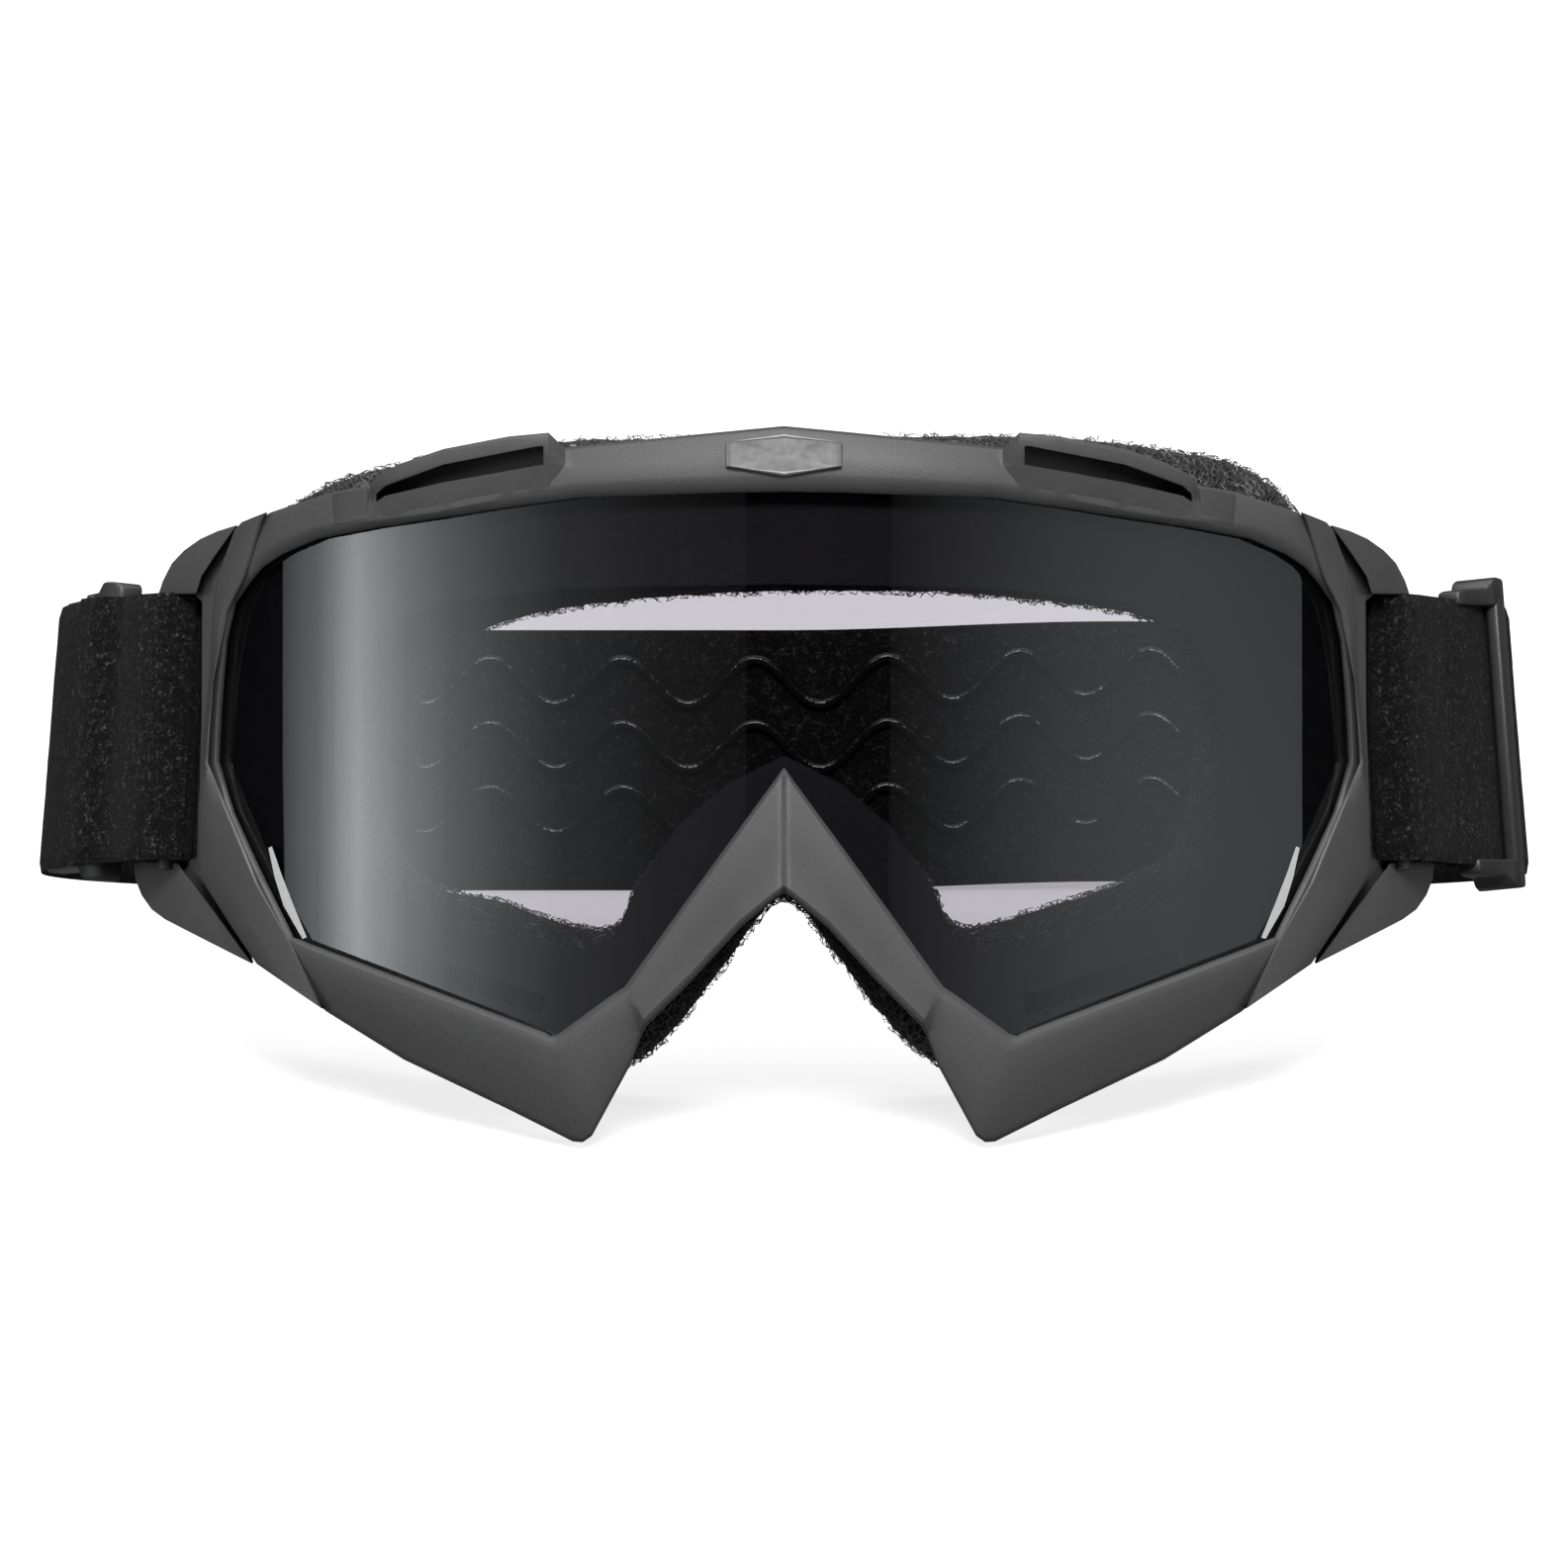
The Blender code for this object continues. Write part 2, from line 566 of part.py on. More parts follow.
def build():
    black_plastic = material("frame_plastic", (0.035, 0.035, 0.037), 0.5)
    ear_plastic = material("ear_plastic", (0.03, 0.03, 0.032), 0.5)
    soft_plastic = material("inner_frame_rubber", (0.02, 0.02, 0.021), 0.6)
    smoke = material("smoke_lens", (0.03, 0.03, 0.032), 0.05, alpha=0.6)
    silver = material("badge_silver", (0.45, 0.45, 0.46), 0.35, metallic=0.8)
    foam = material("open_cell_foam", (0.015, 0.015, 0.015), 0.95)
    fleece = material("face_fleece", (0.02, 0.02, 0.02), 1.0)
    elastic = material("strap_elastic", (0.022, 0.022, 0.023), 0.95)
    thread = material("seam_thread", (0.025, 0.025, 0.025), 0.8)
    silicone = material("grip_silicone", (0.05, 0.05, 0.05), 0.15)
    slider_plastic = material("slider_plastic", (0.02, 0.02, 0.022), 0.4)

    stand = empty("stand", None, Matrix.Identity(4))
    make_front_frame(black_plastic, stand)
    make_inner_frame(soft_plastic, stand)
    make_lens(smoke, stand)
    make_badge(silver, stand)
    for side in (1, -1):
        make_ear(side, ear_plastic, stand)
        make_vent_foam("upper_vent_foam", UPPER_VENT, side, foam, stand)
        make_vent_foam("lower_vent_foam", LOWER_VENT, side, foam, stand)
    make_foam(foam, fleece, stand)

    strap = empty("strap_pivot", stand, strap_frame_matrix())
    make_strap_band(elastic, strap)
    for side in (1, -1):
        make_loop_seam(side, thread, strap)
    for name, row in WAVE_ROWS.items():
        make_grip_wave(name, row * MM, silicone, strap)
    arc_place = (SIDE_CENTRE.x, SIDE_CENTRE.y - EAR_PIVOT_Y, 0)
    right_arc = empty("right_slider_pivot", strap, Matrix.Translation(arc_place))
    left_arc = empty("left_slider_pivot", strap, Matrix.Translation((-arc_place[0], arc_place[1], 0)))
    make_slider(1, RIGHT_SLIDER_ANGLE, slider_plastic, right_arc)
    make_slider(-1, LEFT_SLIDER_ANGLE, slider_plastic, left_arc)
    make_right_tail(elastic, right_arc)
    make_left_tail(elastic, left_arc)
    stand_on_ground(stand)


clear_scene()
parts = new_collection("motocross_goggles")
build()
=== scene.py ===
"""Studio scene of the motocross goggles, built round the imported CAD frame."""
import json
import math
import random

import bmesh
import bpy
from mathutils import Matrix, Vector, kdtree, noise


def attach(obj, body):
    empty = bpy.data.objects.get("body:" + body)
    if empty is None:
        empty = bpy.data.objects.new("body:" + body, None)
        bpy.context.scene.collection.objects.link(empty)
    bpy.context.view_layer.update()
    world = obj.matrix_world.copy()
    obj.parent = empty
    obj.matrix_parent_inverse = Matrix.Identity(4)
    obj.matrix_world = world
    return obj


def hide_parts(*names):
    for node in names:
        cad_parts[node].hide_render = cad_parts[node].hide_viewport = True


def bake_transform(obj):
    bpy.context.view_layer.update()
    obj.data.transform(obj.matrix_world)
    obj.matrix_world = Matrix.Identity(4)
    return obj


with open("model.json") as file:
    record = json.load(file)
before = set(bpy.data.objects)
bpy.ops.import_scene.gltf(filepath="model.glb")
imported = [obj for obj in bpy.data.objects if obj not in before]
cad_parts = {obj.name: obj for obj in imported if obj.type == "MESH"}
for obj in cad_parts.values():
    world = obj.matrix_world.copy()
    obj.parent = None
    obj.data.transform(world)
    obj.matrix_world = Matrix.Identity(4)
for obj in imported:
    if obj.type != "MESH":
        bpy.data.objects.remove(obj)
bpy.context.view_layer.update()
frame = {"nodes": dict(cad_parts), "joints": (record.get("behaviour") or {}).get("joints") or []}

MM = 0.001

# ---------------------------------------------------------------- placing
JOINTS = {joint["name"]: joint for joint in frame["joints"]}
STRAP_SLOPE = math.radians(2.6)
WRAP_RADIUS = 105 * MM
EAR_HEIGHT = 58 * MM
SIDE_RADIUS = 58 * MM
SIDE_CENTRE = Vector((47 * MM, 93 * MM))
BAR_ANGLE = 46.5
BAR_ORBIT = 57.5 * MM
LOOP_RADIUS = 3.15 * MM
LOOP_END_ANGLE = 35.0
LAP_END_ANGLE = 41.8
STRAP_WIDTH = 38.0 * MM
STRAP_THICKNESS = 1.3 * MM
FLARE = math.tan(math.radians(4.5))


def outward(angle):
    """Outward direction of the strap's right side at an angle in degrees before its widest point."""
    turned = math.radians(angle)
    return Vector((math.cos(turned), -math.sin(turned)))


EAR_PIVOT_Y = (SIDE_CENTRE + outward(BAR_ANGLE) * BAR_ORBIT).y


def placing_matrices():
    """Placing of the upright frame, which leans back, and of the strap, from the joints."""
    tilt = JOINTS["strap_tilt"]
    right = JOINTS["right_slider_travel"]
    left = JOINTS["left_slider_travel"]
    lean = math.atan2(right["axis"][1], right["axis"][2]) - STRAP_SLOPE
    middle_x = (right["pos_m"][0] + left["pos_m"][0]) / 2
    pivot = Vector((middle_x, tilt["pos_m"][1], tilt["pos_m"][2]))
    turn = Matrix.Rotation(-lean, 4, "X")
    stand = Matrix.Translation(pivot - turn @ Vector((0, EAR_PIVOT_Y, EAR_HEIGHT))) @ turn
    strap = Matrix.Translation(pivot) @ Matrix.Rotation(-lean - STRAP_SLOPE, 4, "X")
    return stand, strap


STAND, STRAP = placing_matrices()


def wrap_depth(x):
    x = min(abs(x), 0.97 * WRAP_RADIUS)
    return WRAP_RADIUS - math.sqrt(WRAP_RADIUS ** 2 - x ** 2)


# ---------------------------------------------------------------- mesh helpers
def link(name, mesh):
    item = bpy.data.objects.new(name, mesh)
    bpy.context.scene.collection.objects.link(item)
    return item


def link_bmesh(name, bm):
    mesh = bpy.data.meshes.new(name)
    bm.to_mesh(mesh)
    bm.free()
    return link(name, mesh)


def mesh_from(name, points, faces):
    mesh = bpy.data.meshes.new(name)
    mesh.from_pydata([tuple(point) for point in points], [], faces)
    bm = bmesh.new()
    bm.from_mesh(mesh)
    bmesh.ops.remove_doubles(bm, verts=bm.verts, dist=0.001 * MM)
    bmesh.ops.recalc_face_normals(bm, faces=bm.faces)
    bm.to_mesh(mesh)
    bm.free()
    return link(name, mesh)


def loft_faces(count, size, closed=False):
    """Quads between the rows of a loft; an open loft gets a cap at each end."""
    faces = []
    for i in range(count if closed else count - 1):
        j = (i + 1) % count
        for k in range(size):
            m = (k + 1) % size
            faces.append((i * size + k, i * size + m, j * size + m, j * size + k))
    if not closed:
        faces += [tuple(range(size)), tuple(range((count - 1) * size, count * size))]
    return faces


def apply_modifiers(item):
    """Freeze an object's modifiers into its mesh."""
    depsgraph = bpy.context.evaluated_depsgraph_get()
    mesh = bpy.data.meshes.new_from_object(item.evaluated_get(depsgraph), depsgraph=depsgraph)
    item.modifiers.clear()
    item.data = mesh
    return item


def finish_piece(item, surface, body, replaced=(), smooth=35, place=None):
    """Give a piece its material, shading, place and body."""
    item.data.materials.clear()
    item.data.materials.append(surface)
    if place is not None:
        item.data.transform(place)
    item.data.shade_smooth()
    item.data.set_sharp_from_angle(angle=math.radians(smooth))
    if body:
        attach(item, body)
    if replaced:
        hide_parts(*replaced)
    return item


def bevel(item, width, segments=2, angle=28):
    modifier = item.modifiers.new("edges", "BEVEL")
    modifier.width = width
    modifier.segments = segments
    modifier.limit_method = "ANGLE"
    modifier.angle_limit = math.radians(angle)
    return item


def mirror_stations(half):
    """Stations of a closed ring from its right half, from the top centre to the bottom centre."""
    left = []
    for station in reversed(half):
        if station[0] > 0.001 or station[2] > 0.001:
            left.append((-station[0], station[1], -station[2]) + tuple(station[3:]))
    return list(half) + left


def refined(stations, step=1.6, closed=True):
    """Insert linear steps so that no stretch is longer than step millimetres."""
    following = stations[1:] + stations[:1] if closed else stations[1:]
    result = []
    for here, there in zip(stations, following):
        reach = max(math.hypot(there[0] - here[0], there[1] - here[1]),
                    math.hypot(there[2] - here[2], there[3] - here[3]))
        parts = max(1, round(reach / step))
        for k in range(parts):
            share = k / parts
            result.append(tuple(a + (b - a) * share for a, b in zip(here, there)))
    return result if closed else result + stations[-1:]


def catmull(stations, parts=4):
    """Smooth a closed list of tuples with a Catmull-Rom curve."""
    result = []
    count = len(stations)
    for i in range(count):
        p0, p1, p2, p3 = (stations[(i + k) % count] for k in (-1, 0, 1, 2))
        for k in range(parts):
            t = k / parts
            result.append(tuple(
                0.5 * (2 * b + (c - a) * t + (2 * a - 5 * b + 4 * c - d) * t * t
                       + (3 * b - a - 3 * c + d) * t ** 3)
                for a, b, c, d in zip(p0, p1, p2, p3)))
    return result


def wrapped(x, depth, z):
    """Point of the upright frame at a depth behind the wrap of the goggles, from millimetres."""
    return (x * MM, depth * MM + wrap_depth(x * MM), z * MM)


def ring(name, stations, section):
    """Loft closed cross-sections along stations; section(station) gives (x, depth, z)."""
    rows = [section(station) for station in stations]
    points = [wrapped(*spot) for row in rows for spot in row]
    return mesh_from(name, points, loft_faces(len(rows), len(rows[0]), closed=True))


def wrapped_sheet(name, outline, side, front, back, planes):
    """Outline with a thickness, sliced at the planes and bent round the wrap of the goggles."""
    bm = bmesh.new()
    face = bm.faces.new([bm.verts.new((side * x * MM, 0, z * MM)) for x, z in outline])
    made = bmesh.ops.extrude_face_region(bm, geom=[face])
    for vertex in made["geom"]:
        if isinstance(vertex, bmesh.types.BMVert):
            vertex.co.y += (back - front) * MM
    bmesh.ops.recalc_face_normals(bm, faces=bm.faces)
    for plane in planes:
        geometry = bm.verts[:] + bm.edges[:] + bm.faces[:]
        bmesh.ops.bisect_plane(bm, geom=geometry, dist=0.001 * MM, plane_co=(side * plane, 0, 0),
                               plane_no=(1, 0, 0))
    for vertex in bm.verts:
        vertex.co.y += wrap_depth(vertex.co.x) + front * MM
    return link_bmesh(name, bm)


def wrapped_plate(name, outline, side, front, back, edge):
    """Plate near the side of the goggles, bent round their wrap, with rounded edges."""
    planes = [x * MM for x in range(56, 92, 2)]
    item = wrapped_sheet(name, outline, side, front, back, planes)
    bevel(item, edge, 3, 40)
    return apply_modifiers(item)


# ---------------------------------------------------------------- materials
class Nodes:
    """Small helper to build a node material."""

    def __init__(self, name):
        self.material = bpy.data.materials.new(name)
        self.material.use_nodes = True
        self.tree = self.material.node_tree
        self.shader = self.tree.nodes["Principled BSDF"]
        self.output = self.tree.nodes["Material Output"]
        self.coordinates = self.tree.nodes.new("ShaderNodeTexCoord").outputs["Object"]

    def add(self, kind, **settings):
        node = self.tree.nodes.new(kind)
        for key, value in settings.items():
            if hasattr(node, key):
                setattr(node, key, value)
            else:
                node.inputs[key.replace("_", " ")].default_value = value
        return node

    def link(self, source, target):
        self.tree.links.new(source, target)

    def noise(self, scale, detail=2.0, roughness=0.5):
        node = self.add("ShaderNodeTexNoise", Scale=scale, Detail=detail, Roughness=roughness)
        self.link(self.coordinates, node.inputs["Vector"])
        return node.outputs["Fac"]

    def voronoi(self, scale, feature="F1"):
        node = self.add("ShaderNodeTexVoronoi", feature=feature, Scale=scale)
        self.link(self.coordinates, node.inputs["Vector"])
        return node.outputs["Distance"]

    def ramp(self, source, stops):
        node = self.add("ShaderNodeValToRGB")
        elements = node.color_ramp.elements
        while len(elements) < len(stops):
            elements.new(0.5)
        for element, (place, value) in zip(elements, stops):
            element.position = place
            colour = value if isinstance(value, tuple) else (value, value, value)
            element.color = (*colour, 1)
        self.link(source, node.inputs["Fac"])
        return node.outputs["Color"]

    def math(self, operation, first, second):
        node = self.add("ShaderNodeMath", operation=operation)
        for socket, value in zip(node.inputs, (first, second)):
            if isinstance(value, (int, float)):
                socket.default_value = value
            else:
                self.link(value, socket)
        return node.outputs[0]

    def bump(self, height, strength, distance, normal=None):
        node = self.add("ShaderNodeBump", Strength=strength, Distance=distance)
        self.link(height, node.inputs["Height"])
        if normal is not None:
            self.link(normal, node.inputs["Normal"])
        return node.outputs["Normal"]

    def set(self, **values):
        for key, value in values.items():
            self.shader.inputs[key.replace("_", " ")].default_value = value

    def drive(self, **sources):
        for key, source in sources.items():
            self.link(source, self.shader.inputs[key.replace("_", " ")])


def moulded_plastic(name, dark, light, roughness, grain=2600):
    """Black moulded plastic: spark-eroded grain and faint handling marks."""
    m = Nodes(name)
    broad = m.noise(38, 4)
    fine = m.noise(grain, 3, 0.6)
    m.drive(Base_Color=m.ramp(m.math("ADD", m.math("MULTIPLY", broad, 0.5), m.math("MULTIPLY", fine, 0.5)),
                              [(0.3, dark), (0.7, light)]))
    m.drive(Roughness=m.ramp(broad, [(0.3, roughness - 0.05), (0.7, roughness + 0.06)]))
    m.drive(Normal=m.bump(fine, 0.35, 0.00012))
    m.set(Specular_IOR_Level=0.5)
    return m.material


def reticulated_foam(name, grain=950, light=1.0):
    """Open-cell foam: painted shade in the pores and painted highlight on the struts between them, for the
    light the struts catch.
    """
    m = Nodes(name)
    cells = m.voronoi(grain, "DISTANCE_TO_EDGE")
    # Painted highlight and shade: base colour lightest along the cell edges (scaled by light) and near
    # black inside the pores.
    struts = m.ramp(cells, [(0.0, 0.09 * light), (0.09, 0.03 * light), (0.2, 0.006), (1.0, 0.002)])
    m.drive(Base_Color=struts)
    m.set(Roughness=0.75)
    m.drive(Normal=m.bump(m.ramp(cells, [(0.0, 1.0), (0.25, 0.0)]), 1.0, 0.0006))
    return m.material


def fleece(name):
    m = Nodes(name)
    pile = m.noise(1800, 4, 0.7)
    m.drive(Base_Color=m.ramp(pile, [(0.35, 0.008), (0.7, 0.03)]))
    m.set(Roughness=0.95, Sheen_Weight=0.4, Sheen_Roughness=0.4)
    m.drive(Normal=m.bump(pile, 0.9, 0.0004))
    return m.material


def plush_elastic(name):
    """Brushed loop-pile elastic webbing over a dark ground: the light that the fine curls catch is painted
    in as bright specks.
    """
    m = Nodes(name)
    curls = m.noise(2300, 3, 0.75)
    clumps = m.noise(900, 2, 0.5)
    pile = m.math("ADD", m.math("MULTIPLY", curls, 0.7), m.math("MULTIPLY", clumps, 0.3))
    # Painted glints: the top stop of the ramp makes the curl tips light specks over the near-black pile.
    m.drive(Base_Color=m.ramp(pile, [(0.42, 0.0015), (0.52, 0.004), (0.58, 0.012), (0.68, 0.065)]))
    m.set(Roughness=0.92, Specular_IOR_Level=0.12, Sheen_Weight=0.03, Sheen_Roughness=0.35)
    m.drive(Normal=m.bump(pile, 1.0, 0.0007))
    return m.material


def sewing_thread(name):
    m = Nodes(name)
    twist = m.noise(2400, 2)
    m.drive(Base_Color=m.ramp(twist, [(0.3, 0.01), (0.7, 0.04)]))
    m.set(Roughness=0.7)
    m.drive(Normal=m.bump(twist, 0.8, 0.0002))
    return m.material


def clear_silicone(name):
    m = Nodes(name)
    m.drive(Base_Color=m.ramp(m.noise(1400, 2), [(0.3, 0.002), (0.7, 0.005)]))
    m.drive(Roughness=m.ramp(m.noise(1900, 3), [(0.35, 0.08), (0.65, 0.2)]))
    m.set(Specular_IOR_Level=0.3)
    m.drive(Normal=m.bump(m.noise(1600, 3), 0.5, 0.0002))
    return m.material


def satin_silver(name):
    m = Nodes(name)
    brushed = m.noise(900, 3)
    m.drive(Base_Color=m.ramp(brushed, [(0.3, 0.19), (0.7, 0.22)]))
    m.drive(Roughness=m.ramp(brushed, [(0.3, 0.34), (0.7, 0.42)]))
    m.set(Metallic=0.6)
    m.drive(Normal=m.bump(brushed, 0.15, 0.0001))
    return m.material


def smoke_lens(name):
    """Smoke polycarbonate: light passes two tinted faces, and the one it meets first mirrors."""
    m = Nodes(name)
    clear = m.add("ShaderNodeBsdfTransparent")
    clear.inputs["Color"].default_value = (0.66, 0.65, 0.675, 1)
    gloss = m.add("ShaderNodeBsdfGlossy")
    gloss.inputs["Color"].default_value = (1, 1, 1, 1)
    m.link(m.ramp(m.noise(60, 2), [(0.3, 0.0), (0.7, 0.002)]), gloss.inputs["Roughness"])
    fresnel = m.add("ShaderNodeFresnel", IOR=1.9)
    geometry = m.add("ShaderNodeNewGeometry")
    outside = m.math("SUBTRACT", 1.0, geometry.outputs["Backfacing"])
    mix = m.add("ShaderNodeMixShader")
    m.link(m.math("MULTIPLY", fresnel.outputs[0], outside), mix.inputs["Fac"])
    m.link(clear.outputs[0], mix.inputs[1])
    m.link(gloss.outputs[0], mix.inputs[2])
    m.link(mix.outputs[0], m.output.inputs["Surface"])
    m.tree.nodes.remove(m.shader)
    return m.material


def make_materials():
    return {
        "frame": moulded_plastic("frame plastic", 0.033, 0.045, 0.52),
        # The ear plastic is a slightly lighter copy of the frame plastic: painted light for the stronger
        # light on the sides.
        "ear": moulded_plastic("ear plastic", 0.036, 0.048, 0.55),
        "inner": moulded_plastic("inner frame rubber", 0.004, 0.008, 0.6, grain=1500),
        "slider": moulded_plastic("slider plastic", 0.014, 0.02, 0.38, grain=1800),
        "pad": moulded_plastic("rail pad plastic", 0.026, 0.035, 0.46),
        "lens": smoke_lens("smoke lens"),
        "cut_edge": moulded_plastic("frosted lens edge", 0.24, 0.32, 0.4),
        "badge": satin_silver("badge silver"),
        "foam": reticulated_foam("open cell foam"),
        # The vent foam keeps the painted pore shade, with its painted strut highlight cut to a tenth.
        "vent": reticulated_foam("vent foam", 1500, 0.1),
        # The strut plastic is lighter than the black foam: painted highlight for the light the strut edges
        # catch.
        "struts": moulded_plastic("foam strut", 0.025, 0.09, 0.32),
        "fleece": fleece("face fleece"),
        "elastic": plush_elastic("strap elastic"),
        "thread": sewing_thread("seam thread"),
        "silicone": clear_silicone("grip silicone"),
    }


# ---------------------------------------------------------------- front frame
# Stations from the top centre to the bottom centre: outer x z, window x z, front depth at the
# outer edge and at the window's lip, all in millimetres.
FRAME_STATIONS = [
    (0, 99.9, 0, 90.8, 1.6, 0.2), (8.5, 99.1, 8, 90.7, 1.6, 0.2), (31.5, 96.9, 28.7, 90, 1.6, 0.2),
    (45, 94.2, 40, 88.5, 1.6, 0.2), (57.7, 92, 49, 87.1, 1.6, 0.2), (63.6, 91, 57, 86, 1.6, 0.2),
    (68.7, 89.4, 65.5, 84.5, 1.4, 0.2), (72.4, 88.2, 70.6, 82.4, 1.2, 0.2), (75, 86.8, 73.4, 80.6, 1, 0.2),
    (77.5, 84, 75.4, 78.3, 1, 0.4), (79.2, 79.2, 77.4, 75.5, 1.2, 0.8), (80.3, 72, 78.6, 70, 1.4, 1),
    (81, 62, 79.4, 61, 1.6, 1.2), (81.4, 53.4, 79.8, 53.2, 1.6, 1.2), (80.4, 45, 77.6, 46, 1.4, 1),
    (78.5, 36, 73.6, 37.5, 1, 0.6), (74.8, 27, 69, 28.4, 1.0, 0.2), (64.4, 18.1, 62.5, 26, 2.2, 0),
    (53.3, 11.4, 50.5, 21.6, 3.4, 0), (38.9, 4.7, 38, 17, 3.8, 0), (31.2, 0.9, 33.5, 15.3, 3.6, 0),
    (29.6, 0.1, 32.6, 14.8, 3.4, 0), (28.2, 0, 31.6, 15.0, 3.2, 0), (26.9, 0.9, 30, 16.2, 2.8, 0),
    (21.6, 10.7, 24.2, 20.4, 1.6, 0), (20.0, 15.0, 22.5, 21.5, 1.0, 0), (19.2, 16.4, 22.1, 21.9, -1.6, 0),
    (12.8, 22.8, 15, 31.8, -2.8, 0.2), (6.1, 30.1, 8, 41.4, -3.8, 0.3), (1.2, 34.2, 1.1, 50.8, -4.5, 0.3),
    (0.45, 34.7, 0.4, 51.8, -4.6, 0.3), (0, 34.9, 0, 52.3, -4.1, 0.7)]
FRAME_DEPTH = 9.0
LENS_DEPTH = 3.3
LENS_THICKNESS = 1.5


def frame_section(station):
    """Cross-section of the front frame: lip, crowned front face, rounded outer edge and lens seat."""
    ox, oz, wx, wz, outer_front, lip_front = station
    outer = Vector((ox, oz))
    window = Vector((wx, wz))
    across = (outer - window)
    width = across.length
    across.normalize()

    def at(distance, depth):
        spot = window + across * distance
        return (spot.x, depth, spot.y)

    lip = min(1.5 if wz > 60 else 0.8, 0.3 * width)
    seat = min(2.8, 0.6 * width)
    crown = (outer_front + lip_front) / 2 - min(0.25, 0.03 * width)
    return [
        at(0, 3.0), at(0, lip_front + 1.5), at(lip * 0.35, lip_front + 0.8), at(lip, lip_front + 0.12),
        at(lip + 0.12 * width, lip_front), at(0.6 * width, crown),
        at(width - min(0.9, 0.2 * width), outer_front - 0.1),
        at(width - min(0.3, 0.08 * width), outer_front + 0.25),
        at(width, outer_front + 0.9), at(width + 0.15, 6), at(width, FRAME_DEPTH - 0.3),
        at(width - 0.4, FRAME_DEPTH), at(seat + 0.3 * (width - seat), FRAME_DEPTH), at(seat, 3.0)]


SCOOP_STATIONS = [  # x, top z, underside z, mouth bottom z, shelf bottom z, rise
    (30.6, 96.9, 95.6, 94.2, 92.5, 0.0), (32.9, 99.1, 97.3, 94.9, 90.9, 2.8),
    (38.5, 98.6, 96.5, 94.1, 90.2, 3.2), (47.7, 96.9, 94.8, 92.4, 88.6, 3.2),
    (53.5, 95.0, 93.0, 91.3, 87.6, 3.0), (56.5, 93.6, 91.9, 90.5, 87.2, 2.4),
    (58.0, 92.2, 91.2, 90.0, 87.0, 0.0)]
MOUTH_STATIONS = [  # x, top z, bottom z
    (33.6, 97.2, 94.6), (34.4, 97.2, 94.5), (47.7, 94.7, 92.2), (55.9, 91.8, 90.4), (57.2, 90.7, 89.6)]
MOUTH_FRONT = -5
MOUTH_BACK = 5.8


def scoop_solid(side):
    """Raised scoop: a hood over a shelf that runs down into the rail."""
    rows = []
    for x, top, under, mouth, shelf, rise in SCOOP_STATIONS:
        section = [(top - 0.6, 7.0), (top, 4.0), (top, 1.6 - rise), (top - 0.5, 1.0 - rise),
                   (under, 0.9 - rise), (mouth, 0.9 - 0.75 * rise), (shelf, 0.45), (shelf, 3.0),
                   (mouth, 7.0)]
        rows.append([wrapped(side * x, depth, z) for z, depth in section])
    return mesh_from("scoop", sum(rows, []), loft_faces(len(rows), len(rows[0])))


def scoop_mouth(side):
    """The opening under the hood."""
    points = []
    for x, top, bottom in MOUTH_STATIONS:
        for z, depth in ((top, MOUTH_FRONT), (top, MOUTH_BACK),
                         (bottom, MOUTH_BACK), (bottom, MOUTH_FRONT)):
            points.append(wrapped(side * x, depth, z))
    return mesh_from("mouth", points, loft_faces(len(MOUTH_STATIONS), 4))


def combine(item, tool, operation):
    modifier = item.modifiers.new(operation, "BOOLEAN")
    modifier.operation = operation
    modifier.solver = "EXACT"
    modifier.object = tool
    apply_modifiers(item)
    bpy.data.objects.remove(tool, do_unlink=True)
    return item


def make_front_frame(materials):
    body = ring("front_frame_shell", refined(mirror_stations(FRAME_STATIONS)), frame_section)
    for side in (1, -1):
        combine(body, scoop_solid(side), "UNION")
        combine(body, scoop_mouth(side), "DIFFERENCE")
    bevel(body, 0.22 * MM, 2, 35)
    apply_modifiers(body)
    finish_piece(body, materials["frame"], "frame", ["front_frame"], 30, STAND)


# Side rib: outer x z and inner x z from the top edge to the bottom edge.
RIB_STATIONS = [
    (76.6, 86.9, 72.9, 88.3), (77.5, 85.9, 73.6, 86.6), (79.2, 81.5, 75.0, 82.0), (80.3, 78, 76.1, 78.9),
    (80.8, 73, 78.3, 74.7), (81.2, 66, 80.5, 64.6), (82.0, 58.8, 81.0, 58), (82.4, 53, 81.3, 53),
    (82.9, 46, 79.0, 47.7), (83.0, 39.2, 75.9, 40.5), (82.7, 37, 74.0, 35.9), (78.5, 30.6, 69.2, 27.4),
    (74.4, 24.7, 64.9, 18.4)]
RIB_RISE = 0.5


def make_side_rib(side, materials):
    """Raised rib that crosses from the top rail to the lower rail outside the lens."""
    rows = []
    for ox, oz, ix, iz in refined(RIB_STATIONS, 1.5, closed=False):
        outer = Vector((ox, oz))
        inner = Vector((ix, iz))
        across = outer - inner
        width = across.length
        across.normalize()
        section = [(0, 5.0), (0, 1.4 - RIB_RISE), (0.12, 0.5 - RIB_RISE), (0.5, 0.1 - RIB_RISE),
                   (0.5 * width, -0.35 - RIB_RISE), (width - 0.5, 0.2 - RIB_RISE),
                   (width - 0.1, 0.8 - RIB_RISE), (width, 1.8 - RIB_RISE), (width, 9.0),
                   (width * 0.6, 9.4), (width * 0.3, 9.0)]
        row = []
        for distance, depth in section:
            spot = inner + across * distance
            row.append(wrapped(side * spot.x, depth, spot.y))
        rows.append(row)
    name = f"{side_name(side)}_side_rib"
    item = mesh_from(name, sum(rows, []), loft_faces(len(rows), len(rows[0])))
    finish_piece(item, materials["frame"], "frame", (), 35, STAND)


def side_name(side):
    return "right" if side == 1 else "left"


